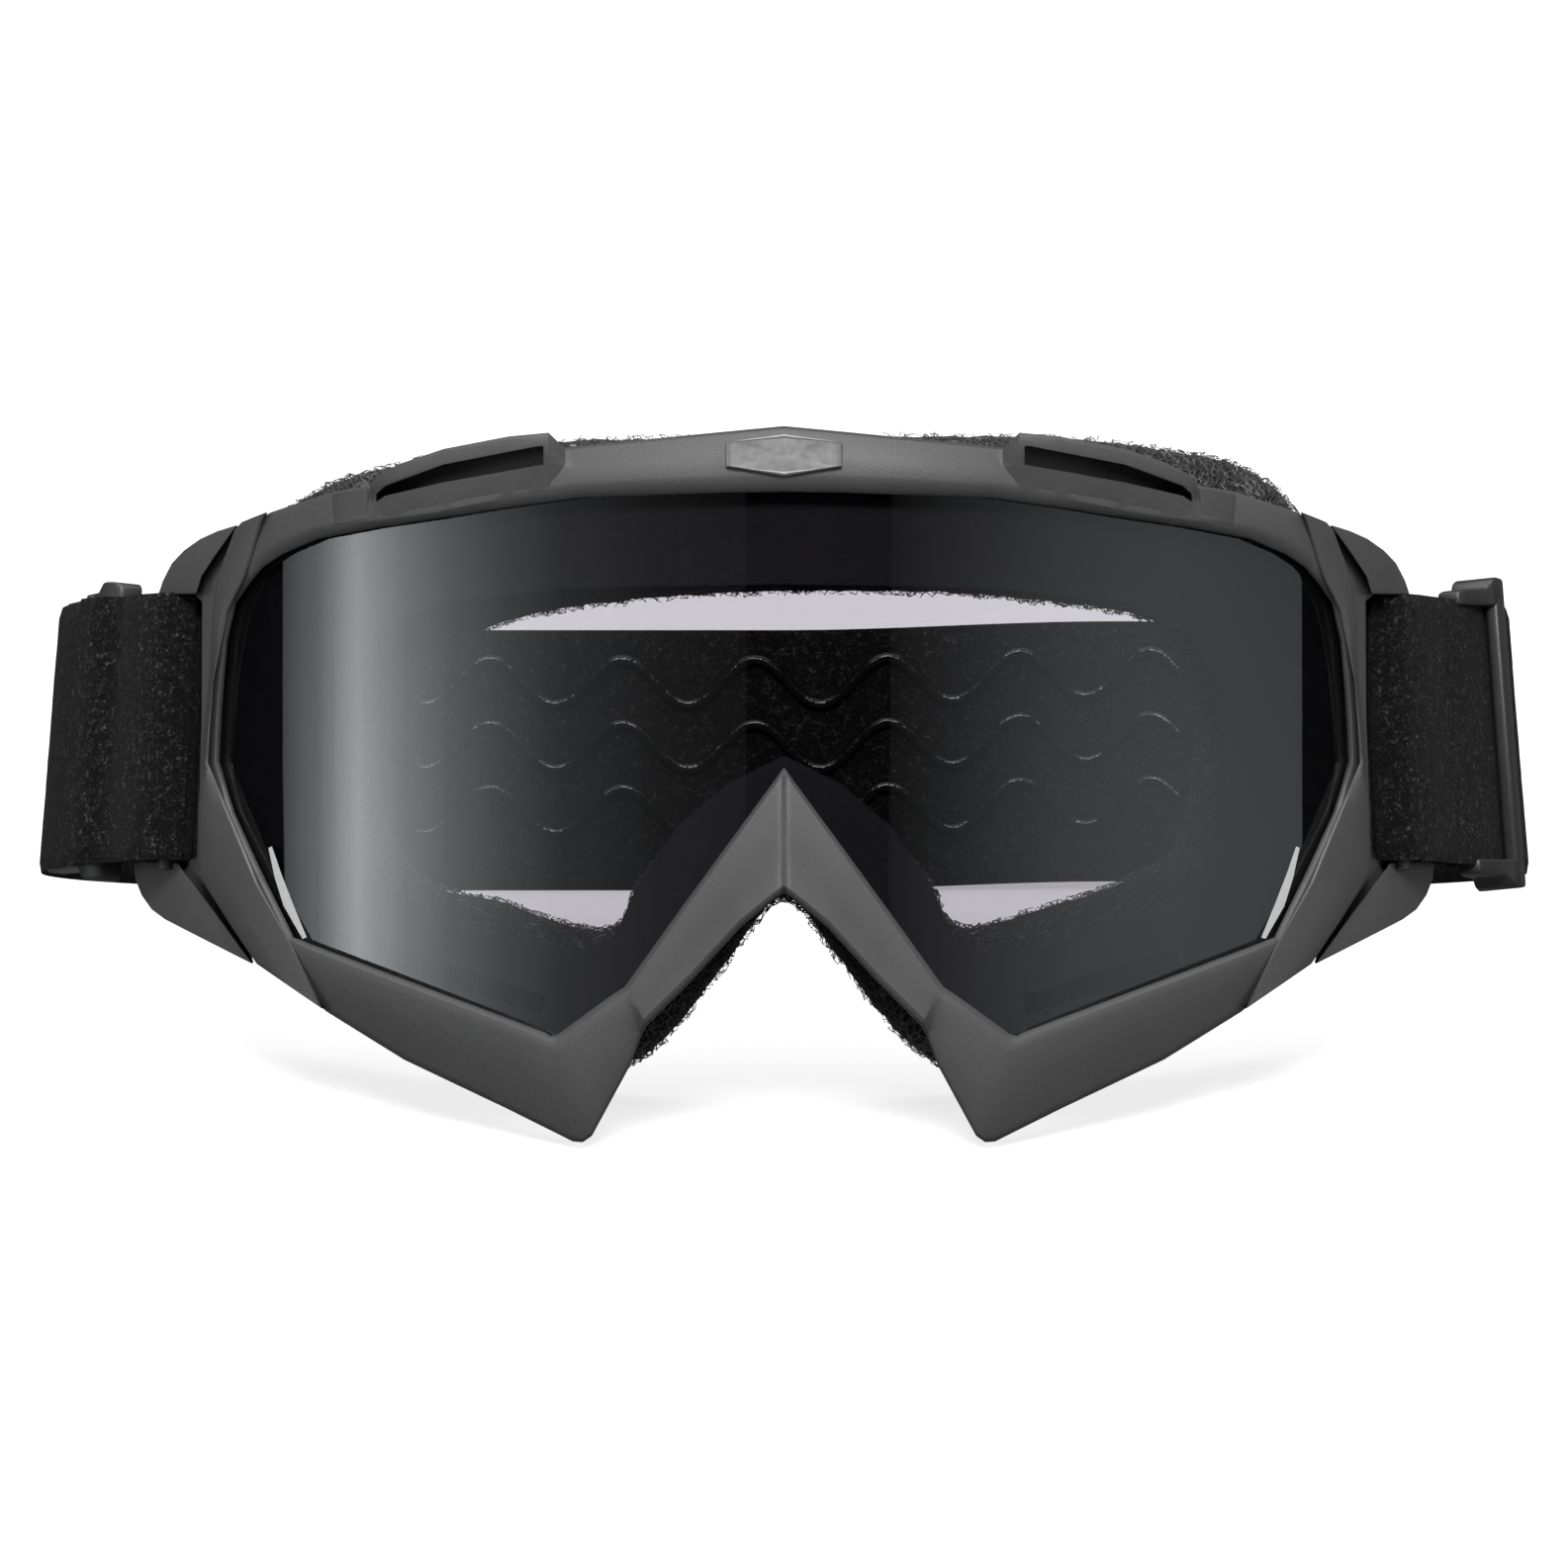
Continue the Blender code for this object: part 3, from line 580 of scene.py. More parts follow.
EAR_OUTER = [(77.2, 86.6), (80, 85.8), (82.6, 84.7), (85, 83.1), (86.8, 81.3), (88.1, 78.9), (88.8, 76.9)]
EAR_LOWER = [(92.5, 38.8), (92.2, 36.4), (91.3, 34.2), (89.8, 32.2), (87.8, 30.8), (81.4, 27.7), (75, 24.6)]
EAR_SLOT = [(83.6, 76.9), (82.6, 76.0), (82.5, 58), (83.4, 39.6), (84.6, 39.0)]
EAR_ROOT = [(77.6, 33.2), (81.4, 38.5), (80.9, 53), (80.2, 66), (79.4, 79.3)]
UPPER_LUG_EDGE = [(83.2, 76.9), (82.4, 79.4), (80.4, 82.3)]
LOWER_LUG_EDGE = [(80.6, 32.0), (85.4, 38.0), (85.8, 38.8)]
WEB_DEPTHS = (6.6, 11.2)
LUG_DEPTHS = (2.9, 10.9)


def make_ear(side, materials):
    """Strap outrigger behind the rib: raised lugs over a set-back web that leaves tapered grooves."""
    name = f"{side_name(side)}_outrigger"
    parts = [
        wrapped_plate(name, EAR_OUTER + EAR_SLOT + EAR_LOWER + EAR_ROOT, side, *WEB_DEPTHS, 0.5 * MM),
        wrapped_plate("upper_lug", EAR_OUTER + UPPER_LUG_EDGE, side, *LUG_DEPTHS, 0.7 * MM),
        wrapped_plate("lower_lug", EAR_LOWER + LOWER_LUG_EDGE, side, *LUG_DEPTHS, 0.7 * MM)]
    item = join(name, parts)
    finish_piece(item, materials["ear"], "frame", [f"{side_name(side)}_ear"], 35, STAND)
    make_ear_bar(side, materials)


def strap_point(angle, orbit, height, side=1):
    plan = SIDE_CENTRE + outward(angle) * (orbit - height * FLARE)
    return Vector((side * plan.x, plan.y - EAR_PIVOT_Y, height))


def make_ear_bar(side, materials):
    low = strap_point(BAR_ANGLE, BAR_ORBIT, -20.2 * MM, side)
    high = strap_point(BAR_ANGLE, BAR_ORBIT, 20.6 * MM, side)
    item = tube(f"{side_name(side)}_strap_bar", [low.lerp(high, i / 8) for i in range(9)], 1.1 * MM, 16)
    finish_piece(item, materials["ear"], "frame", (), 50, STRAP)


def tube(name, path, radius, sides):
    """Closed round rod along a path of points."""
    points = []
    for i, place in enumerate(path):
        along = (path[min(i + 1, len(path) - 1)] - path[max(i - 1, 0)]).normalized()
        across = along.cross(Vector((0, 1, 0)) if abs(along.y) < 0.9 else Vector((0, 0, 1))).normalized()
        over = across.cross(along)
        for k in range(sides):
            turn = 2 * math.pi * k / sides
            points.append(place + radius * (math.cos(turn) * across + math.sin(turn) * over))
    return mesh_from(name, points, loft_faces(len(path), sides))


# ---------------------------------------------------------------- lens, badge
def lens_outline():
    """Lens outline just inside its seat, from the frame's stations."""
    result = []
    for ox, oz, wx, wz, _, _ in refined(mirror_stations(FRAME_STATIONS), 2.0):
        window = Vector((wx, wz))
        across = Vector((ox, oz)) - window
        width = across.length
        spot = window + across.normalized() * min(2.4, 0.5 * width)
        result.append((spot.x, spot.y))
    return result


def make_lens(materials):
    """One curved sheet, sliced finely so that its reflections run smooth."""
    planes = [WRAP_RADIUS * math.sin(math.radians(step / 2)) for step in range(-104, 105)]
    item = wrapped_sheet("lens_sheet", lens_outline(), 1, LENS_DEPTH, LENS_DEPTH + LENS_THICKNESS, planes)
    finish_piece(item, materials["lens"], "frame", ["lens"], 40, STAND)


BADGE_CORNERS = [(0, 98.9), (8.1, 97.7), (8.1, 94.3), (0, 92.9), (-8.1, 94.3), (-8.1, 97.7)]
BADGE_CENTRE = Vector((0, 95.9))
BADGE_ROWS = [(1.0, 1.2), (1.0, -0.3), (0.985, -0.55), (0.955, -0.68), (0.925, -0.55), (0.0, -0.6)]
BADGE_HALF_WIDTH = 8


def make_badge(materials):
    """Blank hexagon plate with a bevelled rim, from rows of (share of the outline, depth)."""
    outline = []
    for i, here in enumerate(BADGE_CORNERS):
        there = BADGE_CORNERS[(i + 1) % len(BADGE_CORNERS)]
        for k in range(8):
            outline.append(Vector(here).lerp(Vector(there), k / 8))
    points = []
    for share, depth in BADGE_ROWS:
        for spot in outline:
            place = BADGE_CENTRE + (spot - BADGE_CENTRE) * share
            if 0 < share < 1:
                place = spot - (spot - BADGE_CENTRE).normalized() * (1 - share) * BADGE_HALF_WIDTH
            points.append(wrapped(place.x, depth, place.y))
    back_cap_only = loft_faces(len(BADGE_ROWS), len(outline))[:-1]
    item = mesh_from("badge_plate", points, back_cap_only)
    finish_piece(item, materials["badge"], "frame", ["badge"], 25, STAND)


CUT_EDGE = [(72.2, 41.2, 72.7, 41.0), (70.8, 37.2, 71.8, 36.9), (69.2, 33.2, 70.5, 32.8),
            (67.2, 28.4, 67.8, 28.2)]


def make_lens_cut_edges(side, materials):
    """Frosted cut edge of the lens where the frame leaves it bare at the lower outer corner."""
    back = LENS_DEPTH + 0.9
    points = []
    for ax, az, bx, bz in CUT_EDGE:
        for x, z, depth in ((ax, az, LENS_DEPTH - 0.05), (bx, bz, LENS_DEPTH - 0.35), (bx, bz, back),
                            (ax, az, back)):
            points.append(wrapped(side * x, depth, z))
    item = mesh_from(f"{side_name(side)}_lens_cut_edge", points, loft_faces(len(CUT_EDGE), 4))
    finish_piece(item, materials["cut_edge"], "frame", (), 25, STAND)


PAD_CORNERS = [(58.4, 91.6), (63.4, 90.8), (63.2, 86.3), (58.4, 87.0)]


def make_rail_pad(side, materials):
    """Flat rectangular land on the top rail beside the scoop."""
    item = wrapped_plate(f"{side_name(side)}_rail_pad", PAD_CORNERS, side, 0.35, 2.4, 0.2 * MM)
    for vertex in item.data.vertices:
        vertex.co.y += 0.1 * (vertex.co.z - 88.5 * MM)
    finish_piece(item, materials["pad"], "frame", (), 30, STAND)


# ---------------------------------------------------------------- foam
FOAM_RIGHT = [  # outer x z, inner x z
    (0, 98.7, 0, 77.0), (16, 99.0, 14, 77.0), (33, 99.1, 27, 76.6), (45, 98.4, 36, 75.8),
    (56, 97.0, 44, 74.9), (63, 95.6, 50.5, 73.6), (68, 93.2, 55, 70.4), (72.3, 89.2, 57.5, 64),
    (75, 82, 58.4, 58), (76.3, 66, 58, 52), (76.3, 50, 57.2, 46.5), (74.3, 38, 54.8, 40.2),
    (66, 27, 49.7, 37), (50, 18, 42.5, 34.4), (38, 12.2, 33, 31.5), (31, 9.7, 26, 29.8),
    (25.5, 9.2, 22.4, 31.4), (21.5, 10.8, 20.6, 36), (16.5, 14.4, 16.6, 40.5), (8, 25, 10, 47.5),
    (2.6, 32.4, 3, 51.3), (0, 33.9, 0, 52.4)]
FOAM_LEFT = [
    (0, 98.7, 0, 77.0), (16, 98.7, 14, 76.4), (33, 98.4, 29, 74.9), (45, 97.0, 38, 73.2),
    (56, 94.9, 45.5, 70.4), (63, 93.0, 50.5, 67.5), (68, 90.5, 54, 64.4), (72.3, 87, 56.5, 61),
    (75, 80, 58, 57), (76.3, 66, 58, 52), (76.3, 50, 57, 46.5), (74.3, 38, 54, 39.8),
    (66, 27, 48.6, 35.2), (50, 18, 40.5, 33.7), (38, 12.2, 31.5, 30.6), (31, 9.7, 25.6, 29.4),
    (25.5, 9.2, 22, 31.2), (21.5, 10.8, 20.4, 36), (16.5, 14.4, 16.6, 40.5), (8, 25, 10, 47.5),
    (2.6, 32.4, 3, 51.3), (0, 33.9, 0, 52.4)]
FOAM_FRONT = 20.3
FOAM_BACK = 34.3
FLEECE_GAP = 0.2
FLEECE_THICKNESS = 2.0
FOAM_SQUARENESS = 0.42
STRUT_SPACING = 0.66 * MM
STRUT_RADII = (0.045 * MM, 0.08 * MM)


def foam_section(front, back, inset):
    def section(station):
        ox, oz, ix, iz = station
        outer = Vector((ox, oz))
        inner = Vector((ix, iz))
        middle = (outer + inner) / 2
        half = (outer - inner) / 2
        reach = half.length - inset
        half.normalize()
        row = []
        count = 36
        for k in range(count):
            turn = 2 * math.pi * k / count
            cosine = math.cos(turn)
            sine = math.sin(turn)
            across = math.copysign(abs(cosine) ** FOAM_SQUARENESS, cosine) * reach
            depth = math.copysign(abs(sine) ** FOAM_SQUARENESS, sine) * (back - front) / 2
            spot = middle + half * across
            row.append((spot.x, (front + back) / 2 + depth, spot.y))
        return row
    return section


def roughen(item, amount, scale, seed):
    """Push each vertex along its normal by smooth noise, for a soft uneven surface."""
    mesh = item.data
    offset = Vector((seed, seed * 1.7, seed * 2.3))
    normals = [vertex.normal.copy() for vertex in mesh.vertices]
    for vertex, normal in zip(mesh.vertices, normals):
        coarse = noise.noise(vertex.co * scale + offset)
        fine = 0.5 * noise.noise(vertex.co * scale * 2.7 + offset)
        vertex.co += normal * (coarse + fine) * amount
    return item


def spaced_spots(mesh, tries, spacing, dice):
    """Points scattered in a thin layer over a mesh's side walls, none nearer than a spacing to another."""
    taken = {}
    spots = []
    for polygon in mesh.polygons:
        if abs(polygon.normal.y) > 0.85:
            continue
        corners = [mesh.vertices[i].co for i in polygon.vertices]
        for _ in range(tries):
            u, v = dice.random(), dice.random()
            place = corners[0].lerp(corners[1], u).lerp(corners[3].lerp(corners[2], u), v)
            spot = place + polygon.normal * (-0.1 + 0.9 * dice.random() ** 1.5) * MM
            cell = tuple(int(value // spacing) for value in spot)
            near = [other for dx in (-1, 0, 1) for dy in (-1, 0, 1) for dz in (-1, 0, 1)
                    for other in taken.get((cell[0] + dx, cell[1] + dy, cell[2] + dz), ())]
            if all((spot - other).length > spacing for other in near):
                taken.setdefault(cell, []).append(spot)
                spots.append(spot)
    return spots


def foam_struts(foam, tries, spacing, seed):
    """Open cells along the foam's inner and outer walls: a net of thin struts between spaced points."""
    dice = random.Random(seed)
    spots = spaced_spots(foam.data, tries, spacing, dice)
    tree = kdtree.KDTree(len(spots))
    for i, spot in enumerate(spots):
        tree.insert(spot, i)
    tree.balance()
    points = []
    faces = []
    for i, spot in enumerate(spots):
        for place, j, distance in tree.find_n(spot, 5)[1:]:
            if j < i or distance > 1.7 * spacing:
                continue
            along = (place - spot).normalized()
            across = along.orthogonal().normalized()
            over = along.cross(across)
            start = len(points)
            radius = dice.uniform(*STRUT_RADII)
            for end in (spot, place):
                for k in range(3):
                    turn = 2 * math.pi * k / 3
                    points.append(end + radius * (math.cos(turn) * across + math.sin(turn) * over))
            for k in range(3):
                m = (k + 1) % 3
                faces.append((start + k, start + m, start + 3 + m, start + 3 + k))
    mesh = bpy.data.meshes.new("struts")
    mesh.from_pydata([tuple(point) for point in points], [], faces)
    return link("face_foam_struts", mesh)


def make_foam(materials):
    left_half = [(-ox, oz, -ix, iz) for ox, oz, ix, iz in reversed(FOAM_LEFT[1:-1])]
    stations = catmull(FOAM_RIGHT + left_half, 7)
    foam = ring("face_foam_ring", stations, foam_section(FOAM_FRONT, FOAM_BACK, 0.2))
    roughen(foam, 0.35 * MM, 420, 3.1)
    struts = foam_struts(foam, 5, STRUT_SPACING, 11)
    finish_piece(struts, materials["struts"], "frame", (), 80, STAND)
    finish_piece(foam, materials["foam"], "frame", ["face_foam"], 80, STAND)
    front = FOAM_BACK + FLEECE_GAP
    skin = ring("face_fleece_skin", stations, foam_section(front, front + FLEECE_THICKNESS, 1.4))
    roughen(skin, 0.15 * MM, 300, 7.7)
    finish_piece(skin, materials["fleece"], "frame", ["face_fleece"], 80, STAND)


# ---------------------------------------------------------------- strap
def ease(value):
    value = min(max(value, 0.0), 1.0)
    return value * value * (3 - 2 * value)


def band_orbit(angle):
    swell = BAR_ORBIT + LOOP_RADIUS - SIDE_RADIUS
    return SIDE_RADIUS + swell * ease((angle - LOOP_END_ANGLE) / (BAR_ANGLE - LOOP_END_ANGLE))


def lap_orbit(angle):
    inside = BAR_ORBIT - LOOP_RADIUS
    pressed = band_orbit(LAP_END_ANGLE) - 2.2 * STRAP_THICKNESS
    return inside + (pressed - inside) * ease((BAR_ANGLE - angle) / (BAR_ANGLE - LAP_END_ANGLE))


def half_strap_path():
    """Plan points of the band's right half with their outward directions, lap end first."""
    path = []
    for i in range(5):
        angle = LAP_END_ANGLE + (BAR_ANGLE - LAP_END_ANGLE) * i / 5
        path.append((SIDE_CENTRE + outward(angle) * lap_orbit(angle), outward(BAR_ANGLE)))
    bar = SIDE_CENTRE + outward(BAR_ANGLE) * BAR_ORBIT
    radial = outward(BAR_ANGLE)
    forward = Vector((radial.y, -radial.x))
    for i in range(13):
        turn = math.radians(-90 + 180 * i / 12)
        path.append((bar + LOOP_RADIUS * (math.sin(turn) * radial + math.cos(turn) * forward), radial))
    steps = 96
    for i in range(1, steps + 1):
        angle = BAR_ANGLE - 1.2 + (-90 - BAR_ANGLE + 1.2) * i / steps
        path.append((SIDE_CENTRE + outward(angle) * band_orbit(angle), outward(angle)))
    for i in range(1, 32):
        path.append((Vector((SIDE_CENTRE.x * (1 - i / 32), SIDE_CENTRE.y + SIDE_RADIUS)), Vector((0, 1))))
    return path


def curl(place):
    """The band's rear right corner lies a little higher than the rest."""
    rear = ease((place.y - SIDE_CENTRE.y) / (30 * MM))
    return 1.3 * MM * rear * ease(place.x / (48 * MM)) * (1 - ease((place.x - 50 * MM) / (40 * MM)))


def webbing(name, path, width, thickness, rows=26):
    """Woven band along a plan path: rounded selvedges and a faintly uneven pile surface."""
    count = len(path)
    section = []
    for i in range(rows + 1):
        section.append((-width / 2 + width * i / rows, 1))
    section += [(height, -1) for height, _ in reversed(section)]
    points = []
    for i, (place, direction) in enumerate(path):
        before = path[max(i - 1, 0)][0]
        after = path[min(i + 1, count - 1)][0]
        along = (after - before).normalized()
        normal = Vector((along.y, -along.x))
        for height, face in section:
            edge = min(1.0, (width / 2 - abs(height)) / (0.9 * MM))
            half = thickness / 2 * (0.45 + 0.55 * math.sqrt(max(0.0, 1 - (1 - edge) ** 2)))
            plan = place - direction * height * FLARE + normal * half * face
            spot = Vector((plan.x, plan.y - EAR_PIVOT_Y, height))
            ripple = noise.noise(spot * 900) * 0.05 * MM + noise.noise(spot * 120) * 0.06 * MM
            push = normal * ripple * face
            points.append((spot.x + push.x, spot.y + push.y, spot.z + curl(place)))
    return mesh_from(name, points, loft_faces(count, len(section)))


def make_band(materials):
    right = half_strap_path()
    left = [(Vector((-place.x, place.y)), Vector((-way.x, way.y))) for place, way in reversed(right)]
    centre = [(Vector((0, SIDE_CENTRE.y + SIDE_RADIUS)), Vector((0, 1)))]
    band = webbing("strap_webbing", right + centre + left, STRAP_WIDTH, STRAP_THICKNESS)
    finish_piece(band, materials["elastic"], "strap", ["strap_band"], 60, STRAP)


def arc_path(start, end, orbit, side, steps=40):
    path = []
    for i in range(steps + 1):
        angle = start + (end - start) * i / steps
        way = outward(angle)
        place = SIDE_CENTRE + way * orbit(angle)
        path.append((Vector((side * place.x, place.y)), Vector((side * way.x, way.y))))
    return path


BAR_PITCH = 9.5 * MM
RIGHT_SLIDER_ANGLE = 19.5
LEFT_SLIDER_ANGLE = 23.0
LEFT_FOLD_ANGLE = 29.2
SLIDER_BAR_RADIUS = 0.9 * MM
LAYER_GAP = 0.35 * MM
RIGHT_LAYER_START = 38.2
LEFT_FOLD_RADIUS = 1.75 * MM


def make_tails(materials):
    """Second strap layers between the ear loops and the sliders."""
    bar = RIGHT_SLIDER_ANGLE + math.degrees(BAR_PITCH / SIDE_RADIUS)
    pressed = SIDE_RADIUS - STRAP_THICKNESS - 1.5 * LAYER_GAP
    under = SIDE_RADIUS - STRAP_THICKNESS - 2 * SLIDER_BAR_RADIUS - 2.6 * LAYER_GAP - 1.0 * MM

    def right_orbit(angle):
        return pressed + (under - pressed) * ease((36.5 - angle) / (36.5 - bar - 1.4))

    path = arc_path(RIGHT_LAYER_START, bar - 1.8, right_orbit, 1)
    tail = webbing("right_strap_layer", path, STRAP_WIDTH, STRAP_THICKNESS)
    finish_piece(tail, materials["elastic"], None, ["right_strap_tail"], 60, STRAP)
    blend_tail(tail)

    over = SIDE_RADIUS + STRAP_THICKNESS + 2 * SLIDER_BAR_RADIUS + 2 * LAYER_GAP
    layer = STRAP_THICKNESS + 0.2 * MM

    def left_orbit(angle):
        flat = band_orbit(angle) + layer
        return flat + (over - flat) * ease((38 - angle) / 6)

    path = loop_path(LOOP_RADIUS + layer, 20, -1)
    path += arc_path(BAR_ANGLE - 1.2, LEFT_FOLD_ANGLE, left_orbit, -1)
    way = outward(LEFT_FOLD_ANGLE)
    rear = Vector((-way.y, way.x))
    hub = SIDE_CENTRE + way * (over - LEFT_FOLD_RADIUS)
    for i in range(1, 10):
        turn = math.radians(90 - 115 * i / 9)
        place = hub + LEFT_FOLD_RADIUS * (math.sin(turn) * way + math.cos(turn) * rear)
        path.append((Vector((-place.x, place.y)), Vector((-way.x, way.y))))
    tail = webbing("left_strap_layer", path, STRAP_WIDTH, STRAP_THICKNESS)
    finish_piece(tail, materials["elastic"], None, ["left_strap_tail"], 60, STRAP)
    blend_tail(tail)


def loop_path(radius, start, side):
    """Outer quarter of a layer wrapped round the ear bar, from its front."""
    bar = SIDE_CENTRE + outward(BAR_ANGLE) * BAR_ORBIT
    radial = outward(BAR_ANGLE)
    forward = Vector((radial.y, -radial.x))
    path = []
    for i in range(8):
        turn = math.radians(start + (90 - start) * i / 8)
        place = bar + radius * (math.sin(turn) * radial + math.cos(turn) * forward)
        path.append((Vector((side * place.x, place.y)), Vector((side * radial.x, radial.y))))
    return path


def blend_tail(tail):
    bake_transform(tail)


RAIL_INNER = 18.2 * MM
RAIL_OVERLAP = 1.2 * MM
END_BAR_SIZE = (1.8 * MM, 2.0 * MM)
# Rails in millimetres: place along the band, height of the outer edge, outer face.
RIGHT_RAIL = [
    (-11.4, 20.1, 0.9), (-9.5, 20.5, 1.3), (-5.2, 20.6, 2.2), (-4.2, 21.9, 2.9), (-3.0, 22.3, 3.1),
    (-0.9, 22.2, 3.1), (0.2, 21.4, 2.8), (1.2, 19.9, 1.8), (3.0, 19.6, 0.5), (11.2, 19.5, 0.4)]
LEFT_RAIL = [
    (-11.4, 20.6, 0.9), (-10.6, 21.3, 1.6), (-8.9, 21.3, 2.4), (-8.0, 19.8, 2.6), (-4.0, 19.6, 2.4),
    (-2.0, 19.5, 0.5), (11.2, 19.4, 0.4)]
# Middle bars in millimetres: place along the band, thickness, breadth.
RIGHT_MIDDLE_BAR = (-2.0, 2.1, 3.4)
LEFT_MIDDLE_BAR = (-5.9, 1.8, 1.9)


def rounded_rod(name, centre, reach, size, edge):
    """Upright bar with a rounded rectangular section, from -reach to reach."""
    bm = bmesh.new()
    bmesh.ops.create_cube(bm, size=1)
    for vertex in bm.verts:
        vertex.co = Vector((vertex.co.x * size[0] + centre[0], vertex.co.y * size[1] + centre[1],
                            math.copysign(reach, vertex.co.z)))
    item = link_bmesh(name, bm)
    bevel(item, edge, 4, 40)
    return apply_modifiers(item)


def join(name, parts):
    """Gather the meshes of several parts in one object."""
    bm = bmesh.new()
    for part in parts:
        bm.from_mesh(part.data)
        bpy.data.objects.remove(part, do_unlink=True)
    return link_bmesh(name, bm)


def slider_rail(name, profile, sign, inner):
    """Rail of a slider, bent along the band; (along, height, outer face) triples shape it."""
    points = []
    for along, top, outer in profile:
        face = outer * MM - (along * MM) ** 2 / (2 * SIDE_RADIUS)
        for depth, height in ((inner, RAIL_INNER), (face, RAIL_INNER), (face, top * MM), (inner, top * MM)):
            points.append((depth, along * MM, sign * height))
    item = mesh_from(name, points, loft_faces(len(profile), 4))
    bevel(item, 0.38 * MM, 3, 25)
    return apply_modifiers(item)


def make_slider(side, angle, profile, middle_bar, materials):
    """Moulded three-bar slider: rounded rails and bars with softened corners."""
    sag = BAR_PITCH ** 2 / (2 * SIDE_RADIUS)
    inside = -(sag + STRAP_THICKNESS / 2 + LAYER_GAP + SLIDER_BAR_RADIUS)
    outside = STRAP_THICKNESS / 2 + LAYER_GAP
    reach = RAIL_INNER + RAIL_OVERLAP
    name = f"{side_name(side)}_slider_body"
    parts = [slider_rail(name, profile, sign, inside - 0.8 * MM) for sign in (-1, 1)]
    for along in (-BAR_PITCH, BAR_PITCH):
        parts.append(rounded_rod(name, (inside, along), reach, END_BAR_SIZE, 0.55 * MM))
    along, thickness, breadth = (value * MM for value in middle_bar)
    parts.append(rounded_rod(name, (outside + thickness / 2, along), reach, (thickness, breadth), 0.6 * MM))
    item = join(name, parts)
    tilt = Matrix.Rotation(-math.atan(FLARE), 4, "Y")
    turn = Matrix.Rotation(math.radians(-angle), 4, "Z")
    item.data.transform(turn @ Matrix.Translation((SIDE_RADIUS, 0, 0)) @ tilt)
    item.data.transform(Matrix.Translation((SIDE_CENTRE.x, SIDE_CENTRE.y - EAR_PIVOT_Y, 0)))
    if side == -1:
        item.data.transform(Matrix.Diagonal((-1, 1, 1, 1)))
        item.data.flip_normals()
    node = f"{side_name(side)}_slider"
    finish_piece(item, materials["slider"], node, [node], 30, STRAP)


def make_sliders(materials):
    make_slider(1, RIGHT_SLIDER_ANGLE, RIGHT_RAIL, RIGHT_MIDDLE_BAR, materials)
    make_slider(-1, LEFT_SLIDER_ANGLE, LEFT_RAIL, LEFT_MIDDLE_BAR, materials)


def rear_path(distance):
    flat = SIDE_CENTRE.x
    side = math.copysign(1, distance)
    beyond = abs(distance) - flat
    if beyond <= 0:
        return Vector((distance, SIDE_CENTRE.y + SIDE_RADIUS)), Vector((0, 1))
    way = outward(math.degrees(beyond / SIDE_RADIUS) - 90)
    place = SIDE_CENTRE + way * SIDE_RADIUS
    return Vector((side * place.x, place.y)), Vector((side * way.x, way.y))


WAVE_PERIOD = 19.4 * MM
WAVE_HEIGHT = 3.3 * MM
WAVE_SHIFT = -4.3 * MM
BEAD_RADIUS = 0.8 * MM
WAVE_ROWS = {"top": 11.4, "middle": 2.0, "bottom": -7.4}


def make_grip_waves(materials):
    """Silicone beads with a slightly hand-laid width along the rear band's inner face."""
    for name, row in WAVE_ROWS.items():
        path = []
        count = 240
        for i in range(count + 1):
            distance = (i / count - 0.5) * 6 * WAVE_PERIOD
            turn = 2 * math.pi * (distance - WAVE_SHIFT) / WAVE_PERIOD
            height = row * MM + WAVE_HEIGHT * math.cos(turn)
            place, way = rear_path(distance)
            plan = place - way * (height * FLARE + STRAP_THICKNESS / 2 + 0.55 * MM)
            path.append(Vector((plan.x, plan.y - EAR_PIVOT_Y, height + curl(place))))
        bead = tube(f"grip_bead_{name}", path, BEAD_RADIUS, 12)
        roughen(bead, 0.09 * MM, 900, 1.0)
        finish_piece(bead, materials["silicone"], "strap", [f"grip_wave_{name}"], 60,
                     STRAP)


# ---------------------------------------------------------------- carried-over CAD nodes
def dress_cad_nodes(materials):
    """Better materials for the CAD nodes that stay, and soft edges for the inner frame."""
    surfaces = {"inner_frame": "inner"}
    for side in ("left", "right"):
        surfaces[f"{side}_loop_seam"] = "thread"
        surfaces[f"upper_vent_foam_{side}"] = "vent"
        surfaces[f"lower_vent_foam_{side}"] = "vent"
    for name, surface in surfaces.items():
        node = frame["nodes"][name]
        node.data.materials.clear()
        node.data.materials.append(materials[surface])
    bevel(frame["nodes"]["inner_frame"], 0.5 * MM, 2, 30)


# ---------------------------------------------------------------- studio
CAMERA_DISTANCE = 3.0
VIEW_WIDTH = 218.73 * MM


def make_camera():
    data = bpy.data.cameras.new("camera")
    camera = bpy.data.objects.new("camera", data)
    bpy.context.scene.collection.objects.link(camera)
    aim = STAND @ Vector((0, 0, 50 * MM))
    back = STAND.to_3x3() @ Vector((0, -1, 0))
    camera.location = aim + back * CAMERA_DISTANCE
    camera.rotation_euler = (-back).to_track_quat("-Z", "Y").to_euler()
    data.sensor_width = 36
    data.lens = data.sensor_width * CAMERA_DISTANCE / VIEW_WIDTH
    data.clip_end = 50
    bpy.context.scene.camera = camera


def area_light(name, place, target, size, power):
    data = bpy.data.lights.new(name, "AREA")
    data.shape = "RECTANGLE"
    data.size, data.size_y = size
    data.energy = power
    item = bpy.data.objects.new(name, data)
    bpy.context.scene.collection.objects.link(item)
    item.location = place
    item.rotation_euler = (Vector(target) - Vector(place)).to_track_quat("-Z", "Y").to_euler()
    return item


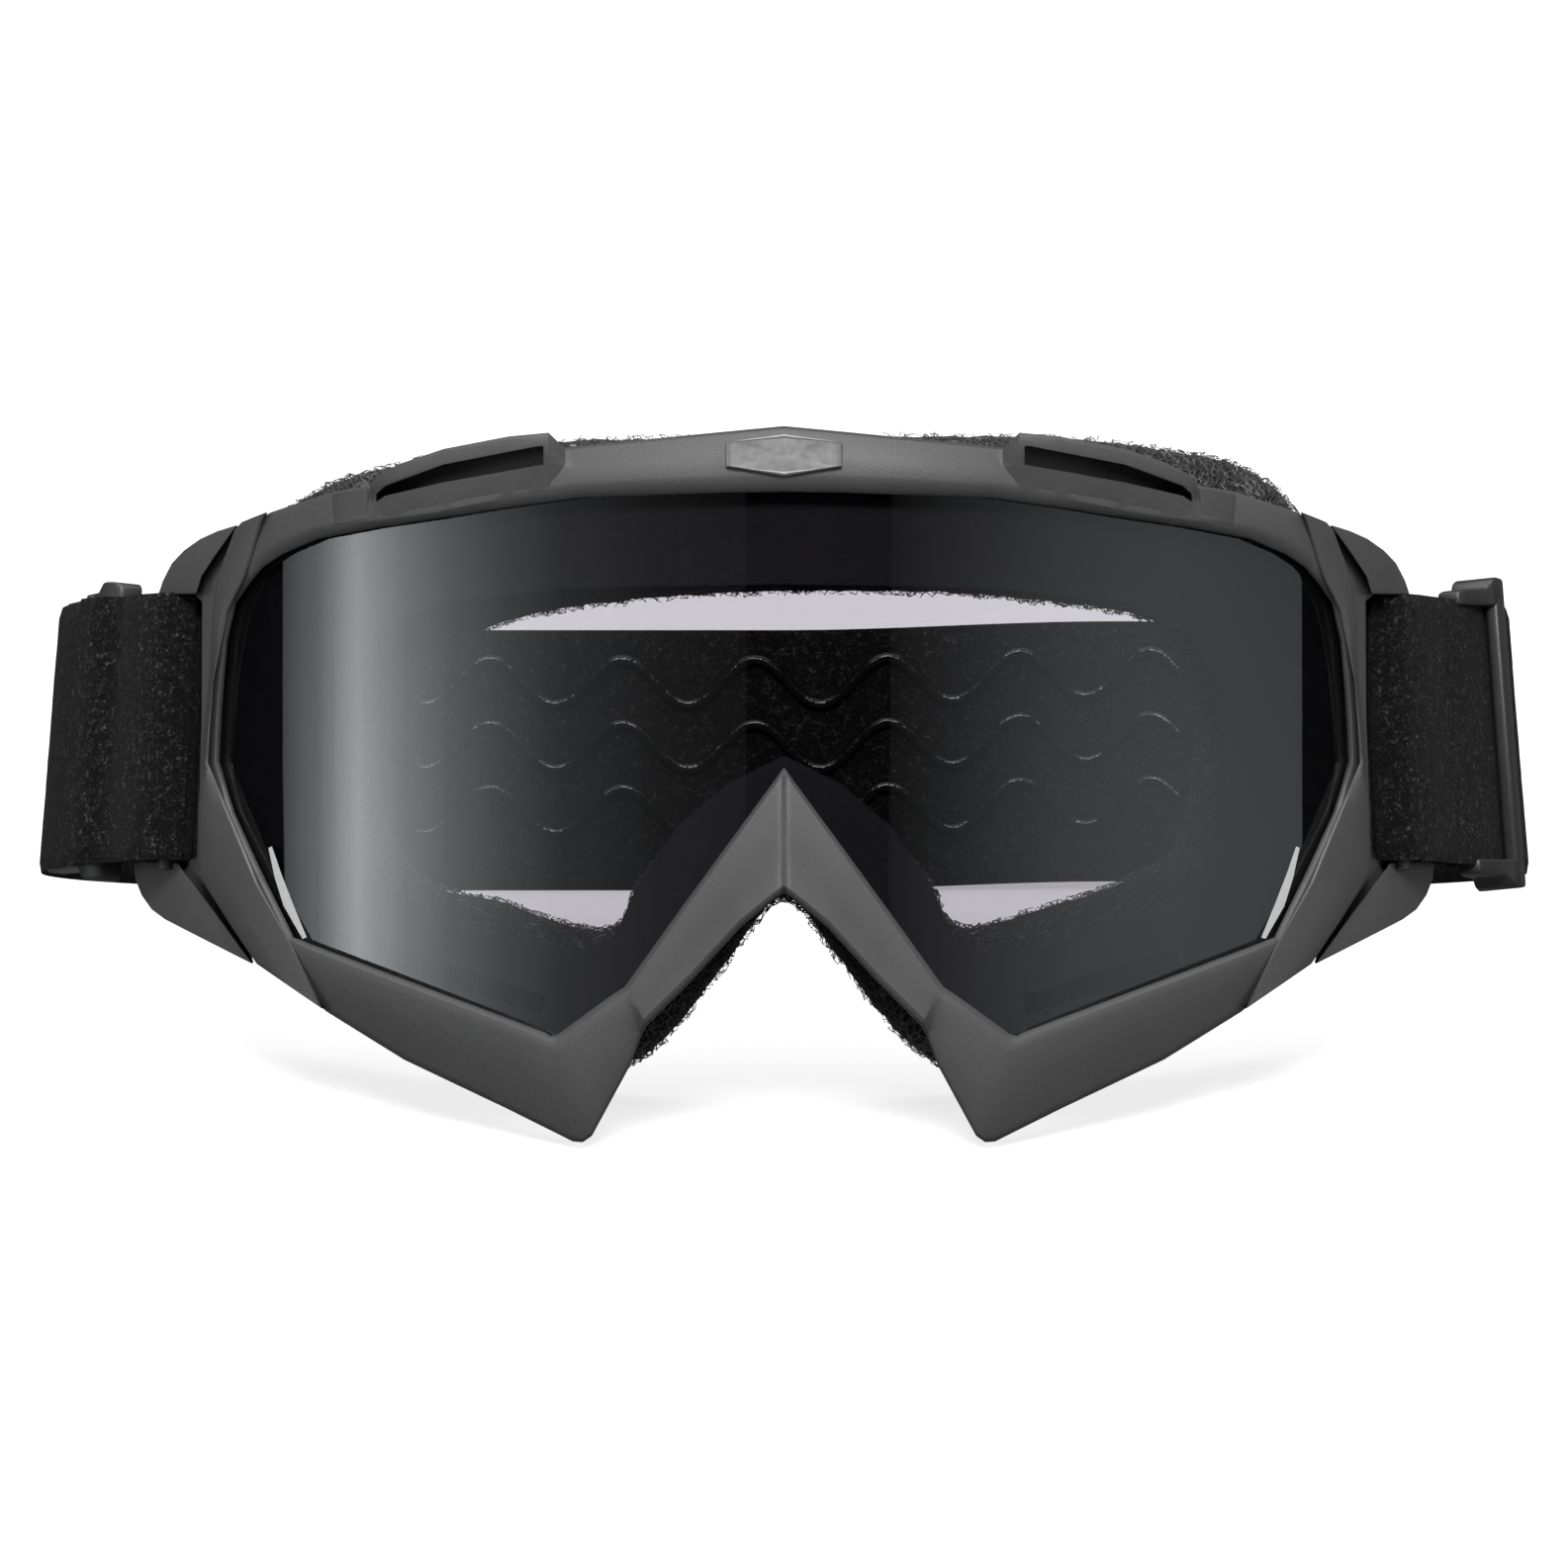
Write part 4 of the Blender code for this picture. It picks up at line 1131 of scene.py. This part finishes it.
SOFTBOX_LOW = -0.12
SOFTBOX_HIGH = 0.3
SOFTBOX_DISTANCE = 1.6
SOFTBOX_BRIGHTEST = 0.03
SOFTBOX_SPREAD = 0.11


def softbox(name, profile):
    """Curved diffuser that the camera doesn't see, from (azimuth from the camera, level) pairs."""
    rows = 8
    points = []
    levels = []
    for azimuth, level in profile:
        turn = math.radians(azimuth)
        for k in range(rows + 1):
            height = SOFTBOX_LOW + (SOFTBOX_HIGH - SOFTBOX_LOW) * k / rows
            spot = Vector((SOFTBOX_DISTANCE * math.sin(turn), -SOFTBOX_DISTANCE * math.cos(turn), height))
            points.append(STAND @ spot)
            fall = (height - SOFTBOX_BRIGHTEST) / SOFTBOX_SPREAD
            levels.append(level / (1 + 0.55 * fall * fall))
    faces = []
    for i in range(len(profile) - 1):
        for k in range(rows):
            corner = i * (rows + 1) + k
            faces.append((corner, corner + 1, corner + rows + 2, corner + rows + 1))
    mesh = bpy.data.meshes.new(name)
    mesh.from_pydata([tuple(point) for point in points], [], faces)
    layer = mesh.attributes.new("level", "FLOAT", "POINT")
    for value, level in zip(layer.data, levels):
        value.value = level
    item = link(name, mesh)
    material = bpy.data.materials.new(name)
    material.use_nodes = True
    tree = material.node_tree
    tree.nodes.clear()
    output = tree.nodes.new("ShaderNodeOutputMaterial")
    emission = tree.nodes.new("ShaderNodeEmission")
    attribute = tree.nodes.new("ShaderNodeAttribute")
    attribute.attribute_name = "level"
    emission.inputs["Color"].default_value = (0.92, 0.96, 1, 1)
    tree.links.new(attribute.outputs["Fac"], emission.inputs["Strength"])
    tree.links.new(emission.outputs[0], output.inputs["Surface"])
    mesh.materials.append(material)
    item.visible_camera = False
    return item


LEFT_SOFTBOX = [
    (0, 0), (-6, 0), (-6.3, 0.04), (-20, 0.09), (-36, 0.26), (-46, 0.6), (-55, 1.1), (-63, 1.9),
    (-69, 2.9), (-72, 3.5), (-74.5, 2.9), (-77, 2.0), (-80, 1.25), (-87, 0.5), (-87.1, 0), (-125, 0)]
RIGHT_SOFTBOX = [
    (0, 0), (17, 0), (17.3, 0.04), (30, 0.2), (45, 0.42), (55, 0.5), (65, 0.54), (75, 0.5),
    (90.5, 0.42), (90.6, 0), (125, 0)]
WORLD_LEVEL = 0.15
FLOOR_GLOW = 0.74
OVERHEAD_POWER = 26
KEY_POWER = 42
FILL_POWER = 13


def make_studio():
    scene = bpy.context.scene
    scene.view_settings.view_transform = "Standard"
    scene.view_settings.look = "None"
    world = bpy.data.worlds.new("studio")
    world.use_nodes = True
    scene.world = world
    background = world.node_tree.nodes["Background"]
    background.inputs["Color"].default_value = (1, 1, 1, 1)
    background.inputs["Strength"].default_value = WORLD_LEVEL

    bpy.ops.mesh.primitive_plane_add(size=12, location=(0, 0, -0.0002))
    floor = bpy.context.object
    floor.name = "floor"
    surface = Nodes("pale floor")
    surface.drive(Base_Color=surface.ramp(surface.noise(3, 3), [(0.3, 0.44), (0.7, 0.46)]))
    surface.set(Roughness=0.9, Emission_Color=(1, 1, 1, 1), Emission_Strength=FLOOR_GLOW)
    floor.data.materials.append(surface.material)
    floor.visible_diffuse = False
    floor.visible_glossy = False

    area_light("overhead", (0, 0.15, 1.7), (0, 0, 0), (2.0, 1.4), OVERHEAD_POWER)
    area_light("key", (0, -1.3, 1.35), (0, 0, 0.03), (0.8, 0.5), KEY_POWER)
    for side in (1, -1):
        place = (1.25 * side, -0.8, 0.4)
        fill = area_light(f"{side_name(side)}_fill", place, (0, 0, 0.05), (0.7, 0.6), FILL_POWER)
        fill.visible_glossy = False
    softbox("left_softbox", LEFT_SOFTBOX)
    softbox("right_softbox", RIGHT_SOFTBOX)


def main():
    make_camera()
    materials = make_materials()
    make_front_frame(materials)
    for side in (1, -1):
        make_side_rib(side, materials)
        make_ear(side, materials)
        make_rail_pad(side, materials)
        make_lens_cut_edges(side, materials)
    make_lens(materials)
    make_badge(materials)
    make_foam(materials)
    make_band(materials)
    make_tails(materials)
    make_sliders(materials)
    make_grip_waves(materials)
    dress_cad_nodes(materials)
    make_studio()


main()
